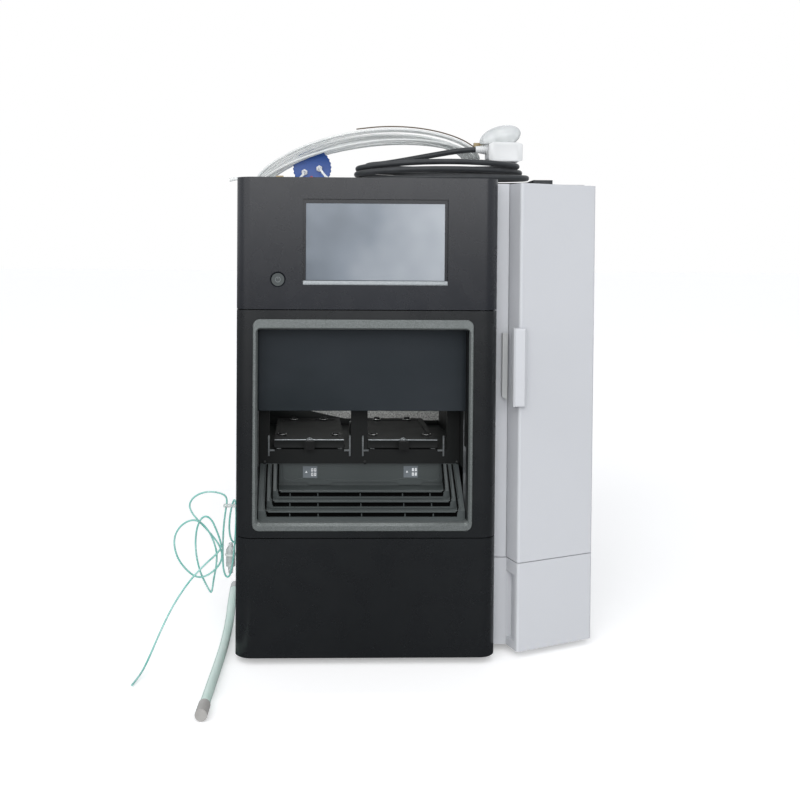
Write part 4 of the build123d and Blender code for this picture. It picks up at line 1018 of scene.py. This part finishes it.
treadSettings = {
    "front": -183.7,
    "places": [(-128.6, 208.3), (-5.2, 208.7)],
    "size": (17.6, 14.2),
    "thick": 0.5,
    "marks": [(1.4, -4.6), (1.4, 0.9), (5.0, -4.6), (5.0, 0.9)],  # left and low corner of each mark
    "mark": (2.4, 3.8),
    "pointer": -4.6,
    "outline": [
        (-162.8, 219.6), (-162.4, 212), (-161.6, 203), (-159.6, 199.6), (-156, 198.3), (-150, 198.1),
        (-145.4, 198.3), (-142, 200), (-137, 200.5), (-121, 200.5), (-117, 200), (-112, 198.2),
        (-60, 197.9), (-23.1, 197.8), (-19.5, 199.8), (-15, 200.4), (3, 200.4), (7.5, 199.8),
        (11.8, 197.9), (19, 197.5), (26, 198), (29.6, 200.8), (30.4, 206), (30.1, 219.6),
    ],
}


def addTread(settings):
    front = settings["front"]
    wide, tall = settings["size"]
    fixedTube("treadOutline", [(x, front + 0.05, z) for x, z in settings["outline"]], 0.45, "darkGrey")
    for index, (x, z) in enumerate(settings["places"]):
        plate = addBlock(
            f"iconPlate{index}",
            (x - wide / 2, front - settings["thick"], z - tall / 2), (x + wide / 2, front, z + tall / 2),
        )
        insetFaces(plate, facing((0, -1, 0)), 0.5, -0.1)
        bevelPiece(plate, 0.15)
        finishPiece(plate, "iconPlate")
        marks = []
        face = front - settings["thick"]
        for across, up in settings["marks"]:
            mark = addBlock(
                "mark",
                (x + across, face - 0.15, z + up),
                (x + across + settings["mark"][0], face + 0.2, z + up + settings["mark"][1]),
            )
            insetFaces(mark, facing((0, -1, 0)), 0.7, -0.25)
            marks.append(mark)
        pointer = addRod("pointer", (x + settings["pointer"], face, z), 1.7, 0.5, "Y", 3)
        insetFaces(pointer, facing((0, -1, 0)), 0.3, 0.05)
        group = joinPieces(f"iconMarks{index}", [*marks, pointer])
        finishPiece(group, "iconMark")


addTread(treadSettings)

# Apron with its slots cut to their full height, a rounded lip round each step,
# and near-black linings and beads as painted shade behind the slots and under the lips

apronSettings = {
    "steps": [  # left, right, near and tread of each step, and how deep its slots go
        (-182.5, 46.1, -237.7, 175.4, 12.5),
        (-175.7, 40.1, -223.7, 183.6, 3.4),
        (-168.9, 34.1, -209.7, 191.8, 3.4),
    ],
    "ribs": [-152.5, -119.4, -68.6, -17.8, 15.3],
    "ribWidth": 1.2,
    "ribBack": 1.3,
    "slot": (5.6, 1.3),  # height, and how far its top lies under the tread
    "felt": (2.6, 3.3),  # how far the faces of the near-black lining, which is painted shade, lie behind the step's face
    "shelf": (-190.4, 219.4),
    "rises": (1, 0.75, 0.5, 0.3, 0.14),
    "spread": (0.1, 0.3, 0.5, 0.7, 0.9),
    "lip": 0.5,
    # radius of the near-black bead under each lip, which is painted shade
    "seal": 0.95,
}


def cutSlots(apron, settings):
    height, under = settings["slot"]
    half = settings["ribWidth"] / 2
    slotShadeNear, slotShadeFar = settings["felt"]
    for left, right, near, tread, deep in settings["steps"]:
        edges = [left + 3, *settings["ribs"], right - 3]
        low, high = tread - under - height, tread - under
        cutAway(apron, addBlock(
            "cutter", (edges[0], near - 3, low), (edges[-1], near + settings["ribBack"], high)
        ))
        # painted shade: a near-black lining behind the slots, where shade falls
        felt = addBlock(
            "slotShadeLining",
            (edges[0] - 0.4, near + slotShadeNear, low - 0.2), (edges[-1] + 0.4, near + slotShadeFar, high + 0.2),
        )
        pickFaces(felt, facing((0, -1, 0)))
        bpy.ops.mesh.subdivide(number_cuts=2)
        leaveEdit()
        bevelPiece(felt, 0.15, 1)
        finishPiece(felt, "paintedShadowBlack")
        cutters = []
        for index, (start, end) in enumerate(zip(edges, edges[1:])):
            first = start + (half if index else 0)
            last = end - (half if index < len(edges) - 2 else 0)
            cutters.append(addBlock("cutter", (first, near - 3, low), (last, near + deep, high)))
        cutAway(apron, joinPieces("cutter", cutters))


def addApron(settings):
    apron = nodes["louvre_apron"].copy()
    apron.data = apron.data.copy()
    apron.parent = None
    apron.name = "slottedApron"
    bpy.context.scene.collection.objects.link(apron)
    pickFaces(apron, lambda face: True)
    bpy.ops.mesh.remove_doubles(threshold=0.00001)
    leaveEdit()
    bpy.ops.mesh.customdata_custom_splitnormals_clear()
    cutSlots(apron, settings)
    bpy.ops.object.shade_smooth_by_angle(angle=math.radians(30))
    finishPiece(apron, "darkGrey")
    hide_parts("louvre_apron")
    back, high = settings["shelf"]
    for index, (left, right, near, tread, _) in enumerate(settings["steps"]):
        rise = [
            (share * (high - tread) + tread, near + share * (back - near)) for share in settings["rises"]
        ]
        middles = [left + (right - left) * share for share in settings["spread"]]
        lip = [
            *[(left, y, z) for z, y in rise],
            (left + 0.6, near + 0.6, tread + 1.6), (left + 3.6, near, tread + 0.1), (left + 9, near, tread),
            *[(x, near, tread) for x in middles],
            (right - 9, near, tread), (right - 3.6, near, tread + 0.1),
            (right - 0.6, near + 0.6, tread + 1.6),
            *[(right, y, z) for z, y in reversed(rise)],
        ]
        fixedTube(f"stepLip{index}", lip, settings["lip"], "darkGrey")
        # painted shade: a near-black bead under each lip and up both sides, where the shadow gap falls
        seal = [
            *[(left + 1.9, y - 0.6, z) for z, y in rise],
            (left + 2.1, near + 0.1, tread + 0.4), (left + 4.4, near + 0.2, tread - 1.6),
            *[(x, near + 0.3, tread - 1.7) for x in middles],
            (right - 4.4, near + 0.2, tread - 1.6), (right - 2.1, near + 0.1, tread + 0.4),
            *[(right - 1.9, y - 0.6, z) for z, y in reversed(rise)],
        ]
        fixedTube(f"stepShadowBead{index}", seal, settings["seal"], "paintedShadowBlack")


addApron(apronSettings)


# Studs on the bay's shelf, and the lamp strip under its ceiling

baySettings = {
    "studs": [(-183, -218.2, 228), (-64, -218.2, 228), (46, -218.2, 228)],
    "stud": (2.1, 1.6),  # radius and depth
    "strip": ((-170, -158, 389), (32, -142, 396)),
}


def addBayDetails(settings):
    studs = []
    for spot in settings["studs"]:
        stud = addRod("stud", spot, *settings["stud"], "Y", 20)
        insetFaces(stud, facing((0, -1, 0)), 0.7, 0.5)
        studs.append(stud)
    group = joinPieces("shelfStuds", studs)
    bevelPiece(group, 0.2)
    finishPiece(group, "darkPlastic")
    strip = addBlock("bayLampStrip", *settings["strip"])
    insetFaces(strip, facing((0, 0, -1)), 1.5, -1)
    bevelPiece(strip, 0.6)
    finishPiece(strip, "lightGrey")


addBayDetails(baySettings)

# Folded front lip, a bright bead on its top edge as a painted highlight, pull loop and dome rings
# of each rack tray, and a dark strip behind them

traySettings = {
    "middles": {"left_rack_tray": -129.7, "right_rack_tray": -15.65},
    "half": 42.8,
    "front": -188,
    "low": 238.8,
    "top": 248.5,
    # radius of the bright bead along the top edge, a painted highlight
    "edge": 0.7,
    "loop": [(-3.4, 0, 0), (-3.2, -1, 2.2), (-1.6, -1.4, 3.2), (1.6, -1.4, 3.2), (3.2, -1, 2.2), (3.4, 0, 0)],
    "loopWire": 0.5,
    "domes": [(-33.9, -153, 249.1), (33.9, -153, 249.1), (-20.5, -49, 249.3), (20.5, -49, 249.3)],
    "ring": (5.2, 0.6),
}


def addTrayDetails(settings):
    half, front, top = settings["half"], settings["front"], settings["top"]
    radius, wire = settings["ring"]
    for body, x in settings["middles"].items():
        side = body.split("_")[0]
        low = settings["low"]
        lip = addBlock(f"{side}TrayLip", (x - half, front - 1.2, low), (x + half, front + 0.2, top))
        insetFaces(lip, facing((0, -1, 0)), 1.4, -0.3)
        bevelPiece(lip, 0.3)
        finishPiece(lip, "darkPlastic", body)
        reach = half - 0.8
        # painted highlight: a bright bead along the top front edge, where light catches it
        edge = [(x - reach + 2 * reach * share, front - 0.7, top + 0.2) for share in (0, 0.3, 0.7, 1)]
        fixedTube(f"{side}TrayHighlightBead", edge, settings["edge"], "brightTrimAndHighlight", body)
        loop = [(x + across, front - 1 + along, top - 0.4 + up) for across, along, up in settings["loop"]]
        fixedTube(f"{side}TrayLoop", loop, settings["loopWire"], "brightTrimAndHighlight", body)
        rings = []
        for across, y, z in settings["domes"]:
            pickNothing()
            bpy.ops.mesh.primitive_torus_add(
                major_radius=radius / 1000, minor_radius=wire / 1000, major_segments=32, minor_segments=8,
                location=millimetres(x + across, y, z),
            )
            rings.append(bpy.context.object)
            settle(rings[-1])
        group = joinPieces(f"{side}TrayRings", rings)
        pickFaces(group, lambda face: face.normal.z < -0.9)
        bpy.ops.mesh.dissolve_faces()
        leaveEdit()
        bpy.ops.object.shade_smooth_by_angle(angle=math.radians(40))
        finishPiece(group, "screwSteel", body)


addTrayDetails(traySettings)

backStripSettings = {
    "strips": [((-189.6, -142), 262), ((-145, -66), 246), ((-50, 52.4), 243.6)],  # left and right, and top
    "foot": 237.8,
    "faces": (-28.2, -26.2),
    "flap": {"middle": (-127.5, -28.4, 247.6), "size": (0.126, 0.0012, 0.018), "lean": 12.4},
}


def addBackStrip(settings):
    near, far = settings["faces"]
    strips = [
        addBlock("strip", (left, near, settings["foot"]), (right, far, top))
        for (left, right), top in settings["strips"]
    ]
    flap = settings["flap"]
    pickNothing()
    bpy.ops.mesh.primitive_cube_add(
        size=1, location=millimetres(*flap["middle"]), rotation=(0, math.radians(flap["lean"]), 0)
    )
    leaning = bpy.context.object
    leaning.scale = flap["size"]
    settle(leaning)
    strips.append(leaning)
    screen = joinPieces("bayBackStrip", strips)
    bevelPiece(screen, 0.3)
    finishPiece(screen, "darkPlastic")


addBackStrip(backStripSettings)
print("front details made")

# Screws: one pan head with a cross recess, modelled once and copied to the covers

screwSettings = {"radius": 3.6, "height": 1.5, "slot": 1.1}

screwPlaces = {
    "leftScrew": ((-1, 0, 0), [
        (-215, -196, 545), (-215, 20, 548), (-215, 232, 545),
        (-215, 232, 290), (-215, 232, 30), (-215, 20, 24),
    ]),
    "rightScrew": ((1, 0, 0), [
        (215, -164, 545), (215, 40, 548), (215, 232, 545), (215, 232, 290), (215, 232, 30), (215, 40, 24),
        (215, -164, 300), (215, -164, 30),
    ]),
    "rearScrew": ((0, 1, 0), [
        (-202, 250, 549), (0, 250, 549), (202, 250, 549), (-202, 250, 290), (202, 250, 290),
        (-202, 250, 22), (0, 250, 22), (202, 250, 22),
        (101, 250, 424), (173, 250, 424), (101, 250, 352), (173, 250, 352),
    ]),
    "topScrew": ((0, 0, 1), [(-200, 232, 561), (200, 232, 561), (-200, -60, 561), (200, 40, 561)]),
}


def screwMaster(settings):  # head that looks along -Y
    radius, height, slot = settings["radius"], settings["height"], settings["slot"]
    head = addRod("screwMaster", (0, -height / 2, 0), radius, height, "Y", 28)
    insetFaces(head, facing((0, -1, 0)), radius * 0.3, 0.25)
    for wide, tall in [(radius * 0.62, slot / 2), (slot / 2, radius * 0.62)]:
        cutAway(head, addBlock("cutter", (-wide, -height - 2, -tall), (wide, -height + 0.7, tall)))
    bevelPiece(head, 0.2, 2)
    return head


def addScrews(settings, places):
    master = screwMaster(settings)
    for name, (outward, spots) in places.items():
        turn = Vector(outward).to_track_quat("-Y", "Z").to_euler()
        heads = [copyPiece(master, "head", spot, turn) for spot in spots]
        finishPiece(joinPieces(name + "s", heads), "screwSteel")
    bpy.data.objects.remove(master)


addScrews(screwSettings, screwPlaces)

# Sockets, earth stud and a bare rating plate on the rear panel

rearSettings = {
    "face": 250,
    "network": [(-52, 78), (-32, 78)],
    "serial": (0, 78),
    "serialRows": [(1.8, 5), (-1.8, 4)],
    "serialPitch": 2.8,
    "terminals": (42, 78),
    "earth": (-148, 48),
    "earthParts": [  # name, lift, radius, depth, sides, inset, rise
        ("earthStud", 1.6, 2, 3.4, 24, 0.5, 0.3),
        ("earthNut", 0.9, 3.9, 1.8, 6, 0.6, 0.2),
        ("washer", 0.2, 4.8, 0.4, 32, 0.3, 0.05),
    ],
    "plate": (-1, 130),
}


def rearBlock(name, spot, half, depths):
    # half width and height, and how far its inner and outer faces lie past the panel
    (x, z), (wide, tall), (inner, outer) = spot, half, depths
    face = rearSettings["face"]
    return addBlock(name, (x - wide, face + inner, z - tall), (x + wide, face + outer, z + tall))


def addRearDetails(settings):
    face = settings["face"]
    outward = facing((0, 1, 0))
    for index, (x, z) in enumerate(settings["network"]):
        socket = rearBlock(f"networkSocket{index}", (x, z), (8, 7), (-1, 1.2))
        insetFaces(socket, outward, 1.6, -0.2)
        insetFaces(socket, facing((0, 1, 0), 0.95, lambda c: abs(c.x - x / 1000) < 0.004), 0.4, -8)
        bevelPiece(socket, 0.3, 2, 50)
        finishPiece(socket, "screwSteel")
        tongue = rearBlock("tongue", (x, z - 3.6), (4, 1), (-6, -0.6))
        insetFaces(tongue, outward, 0.4, 0.2)
        finishPiece(tongue, "chip")
    x, z = settings["serial"]
    shell = rearBlock("serialShell", (x, z), (9.5, 5.5), (-1, 1.4))
    insetFaces(shell, outward, 1.4, -0.2)
    insetFaces(shell, facing((0, 1, 0), 0.95, lambda c: abs(c.x - x / 1000) < 0.004), 0.3, -5)
    bevelPiece(shell, 0.8, 3, 50)
    finishPiece(shell, "screwSteel")
    pins = []
    for row, count in settings["serialRows"]:
        for index in range(count):
            across = (index - (count - 1) / 2) * settings["serialPitch"]
            pins.append(addRod("pin", (x + across, face - 2.4, z + row), 0.5, 4, "Y", 12))
            insetFaces(pins[-1], outward, 0.2, 0.2)
    finishPiece(joinPieces("serialPins", pins), "peek")
    block = rearBlock("terminalBlock", settings["terminals"], (14, 5), (-1, 4))
    pickFaces(block, lambda f: abs(f.normal.y) > 0.9 or abs(f.normal.z) > 0.9)
    bpy.ops.mesh.subdivide(number_cuts=3)
    leaveEdit()
    insetFaces(block, outward, 0.7, -1.6, each=True)
    bevelPiece(block, 0.2, 1, 50)
    finishPiece(block, "board")
    x, z = settings["earth"]
    stack = []
    for name, lift, radius, depth, sides, inset, rise in settings["earthParts"]:
        stack.append(addRod(name, (x, face + lift, z), radius, depth, "Y", sides))
        insetFaces(stack[-1], outward, inset, rise)
    earth = joinPieces("earthStud", stack)
    bevelPiece(earth, 0.15)
    finishPiece(earth, "screwSteel")
    plate = rearBlock("ratingPlate", settings["plate"], (39, 20), (-0.1, 0.35))
    insetFaces(plate, outward, 1.6, -0.12)
    bevelPiece(plate, 0.15)
    finishPiece(plate, "ratingPlate")


addRearDetails(rearSettings)
print("covers and rear panel detailed")

# Column oven behind the right door

ovenSettings = {
    "column": (132, -100),
    "top": 516,
    "low": 250,
    "lines": {
        "columnInletLine": [
            (0, 0, 530), (0, 0, 537), (1, 4, 542), (4, 14, 544), (10, 26, 541),
            (18, 40, 530), (22, 52, 512), (22, 62, 490), (20, 70, 470), (18, 76, 455), (18, 82, 452),
        ],
        "columnOutletLine": [
            (0, 0, 238), (0, 0, 231), (1, -3, 225), (4, -12, 221), (8, -26, 219), (9, -44, 216),
            (8, -60, 208), (6, -74, 196), (4, -78, 186), (3, -76, 180), (3, -70, 178), (3, -66, 178),
        ],
    },
    "fins": {"left": 163.5, "right": 198.5, "count": 9, "thick": 1.5, "deep": 9, "low": 262, "high": 518},
}


def addRibbedNut(name, spot, radius, depth, axis, way, nose):
    # way is the outward direction, nose the inset and the height of its end
    nut = addRod(name, spot, radius, depth, axis, 20)
    ribSides(nut, way, 0.15, 0.4)
    insetFaces(nut, facing(way), *nose)
    bevelPiece(nut, 0.25, 1)
    finishPiece(nut, "peek")


def addHexEnd(name, spot, way):
    # Hex end fitting with a finger nut; way is 1 upwards and -1 downwards
    x, y, z = spot
    end = addRod(name, (x, y, z + 5 * way), 7.2, 10, "Z", 6)
    insetFaces(end, facing((0, 0, way)), 2.2, 1.2)
    insetFaces(end, facing((0, 0, way), 0.95, lambda c: abs(c.z * 1000 - z - 11.2 * way) < 0.3), 0.6, 1.4)
    bevelPiece(end, 0.4, 2)
    finishPiece(end, "steel")
    addRibbedNut(name + "Nut", (x, y, z + 17 * way), 4.4, 10, "Z", (0, 0, way), (1.6, 1.5))


def addOvenDetails(settings):
    x, y = settings["column"]
    addHexEnd("columnTopEnd", (x, y, settings["top"] - 6), 1)
    addHexEnd("columnLowEnd", (x, y, settings["low"] + 6), -1)
    for name, route in settings["lines"].items():
        fixedTube(name, [(x + dx, y + dy, z) for dx, dy, z in route], 0.8, "capillary")
    fins = settings["fins"]
    step = (fins["right"] - fins["left"]) / (fins["count"] - 1)
    master = addBlock(
        "fin", (-fins["thick"] / 2, -47 - fins["deep"], fins["low"]), (fins["thick"] / 2, -46.5, fins["high"])
    )
    pushFaces(master, facing((0, -1, 0)), 0.8, 0.94)
    bevelPiece(master, 0.25, 1)
    copies = [copyPiece(master, "fin", (fins["left"] + step * index, 0, 0)) for index in range(fins["count"])]
    bpy.data.objects.remove(master)
    finishPiece(joinPieces("heaterFins", copies), "aluminium")


addOvenDetails(ovenSettings)

# Nuts and waste line of the flow cell

cellSettings = {
    "nuts": [(125, -169.5, 178), (135, -169.5, 178), (168, -169.5, 166)],
    "line": [
        (125, -173, 178), (125, -177, 178), (124, -181, 174), (121, -183, 166), (117, -183, 156),
        (113, -181, 146), (110, -176, 139), (106, -168, 135), (102, -158, 133), (97, -148, 132),
    ],
    "radius": 1,
}


def addCellDetails(settings):
    for index, spot in enumerate(settings["nuts"]):
        addRibbedNut(f"cellNut{index}", spot, 4.2, 7, "Y", (0, -1, 0), (1.5, 1.2))
    fixedTube("cellWasteLine", settings["line"], settings["radius"], "tealTube")


addCellDetails(cellSettings)

# Rubber seal round the inner face of the right door, and the foam panel inside it

doorSettings = {
    "seal": ((112.5, -192.2, 119.5), (201.5, -189.2, 553)),
    "foam": ((122, -192.1, 130), (192, -190.2, 542)),
    "width": 4,
}


def addDoorSeal(settings):
    outer = addBlock("doorSeal", *settings["seal"])
    pickFaces(outer, lambda face: abs(face.normal.y) > 0.9)
    bpy.ops.mesh.inset(thickness=settings["width"] / 1000, depth=0)
    bpy.ops.mesh.bridge_edge_loops()
    leaveEdit()
    bevelPiece(outer, 1.0, 3)
    finishPiece(outer, "rubber", "right_door")
    pocket = addBlock("doorFoam", *settings["foam"])
    insetFaces(pocket, facing((0, 1, 0)), 3, 0.9)
    bevelPiece(pocket, 0.6)
    finishPiece(pocket, "foam", "right_door")


addDoorSeal(doorSettings)
print("oven detailed")

# Floor and light

stageSettings = {
    "floorSize": 60,
    "floorTop": -0.0005,
    "floorColor": "#ebebeb",
    "floorSeen": "#f6f6f6",
    "floorMirrored": "#66686a",
    "floorLift": 0.3,
    "worldLight": (0.47, 0.48, 0.5, 1),
    "worldSeen": (1.0, 1.0, 1.0, 1),
    "worldMirrored": (0.93, 0.95, 0.98, 1),
    "sun": {"bearing": -18, "height": 52, "spread": 50, "strength": 0.85},
    "fill": {"bearing": -46, "height": 18, "spread": 50, "strength": 0.62},
    "panel": {"spot": (0.3, -3.6, 1.55), "target": (0, -0.25, 0.45), "size": (4.4, 1.7), "power": 52},
    "bay": {
        "spot": (-0.0686, -0.15, 0.385), "target": (-0.0686, -0.1, 0.2), "size": (0.2, 0.03), "power": 0.28,
    },
}


def rayColor(tree, plain, camera, glossy):
    # One colour for light, one for what the camera sees and one for reflections
    isGlossy = addNode(tree, "ShaderNodeLightPath", output="Is Glossy Ray")
    isCamera = addNode(tree, "ShaderNodeLightPath", output="Is Camera Ray")
    isThrough = addNode(tree, "ShaderNodeLightPath", output="Is Transmission Ray")
    shine = addNode(
        tree, "ShaderNodeMix", {"Factor": isGlossy, "A": plain, "B": glossy}, "Result", data_type="RGBA"
    )
    seen = addNode(tree, "ShaderNodeMath", {0: isCamera, 1: isThrough}, operation="MAXIMUM")
    return addNode(
        tree, "ShaderNodeMix", {"Factor": seen, "A": shine, "B": camera}, "Result", data_type="RGBA"
    )


def addFloor(settings):
    pickNothing()
    bpy.ops.mesh.primitive_plane_add(size=settings["floorSize"], location=(0, 0, settings["floorTop"]))
    floor = bpy.context.object
    floor.name = "floor"
    material, tree, shader = newMaterial("floorPaper", {"Roughness": 0.9, "Specular IOR Level": 0.0})
    color = rayColor(tree, *[hexColor(settings[key]) for key in ("floorColor", "floorSeen", "floorMirrored")])
    isCamera = addNode(tree, "ShaderNodeLightPath", output="Is Camera Ray")
    shader.inputs["Emission Color"].default_value = (1, 1, 1, 1)
    feed(tree, shader, {
        "Base Color": color,
        "Emission Strength": addNode(
            tree, "ShaderNodeMapRange", {"Value": isCamera, "To Min": 0.0, "To Max": settings["floorLift"]}
        ),
    })
    floor.data.materials.append(material)


def addWorld(settings):
    world = bpy.data.worlds.new("studio")
    bpy.context.scene.world = world
    world.use_nodes = True
    tree = world.node_tree
    color = rayColor(tree, settings["worldLight"], settings["worldSeen"], settings["worldMirrored"])
    tree.links.new(color, tree.nodes["Background"].inputs["Color"])


def addSun(name, settings):
    data = bpy.data.lights.new(name, "SUN")
    data.angle = math.radians(settings["spread"])
    data.energy = settings["strength"]
    lamp = bpy.data.objects.new(name, data)
    lamp.rotation_euler = (math.radians(90 - settings["height"]), 0, math.radians(settings["bearing"]))
    bpy.context.scene.collection.objects.link(lamp)


def addPanelLamp(name, settings):
    data = bpy.data.lights.new(name, "AREA")
    data.shape = "RECTANGLE"
    data.size, data.size_y = settings["size"]
    data.energy = settings["power"]
    lamp = bpy.data.objects.new(name, data)
    lamp.location = settings["spot"]
    aim = Vector(settings["target"]) - Vector(settings["spot"])
    lamp.rotation_euler = aim.to_track_quat("-Z", "Y").to_euler()
    lamp.visible_camera = False
    bpy.context.scene.collection.objects.link(lamp)


addFloor(stageSettings)
addWorld(stageSettings)
addSun("keyLight", stageSettings["sun"])
addSun("fillLight", stageSettings["fill"])
addPanelLamp("windowLight", stageSettings["panel"])
addPanelLamp("bayLamp", stageSettings["bay"])

scene = bpy.context.scene
scene.view_settings.view_transform = "Standard"
print("lights set")
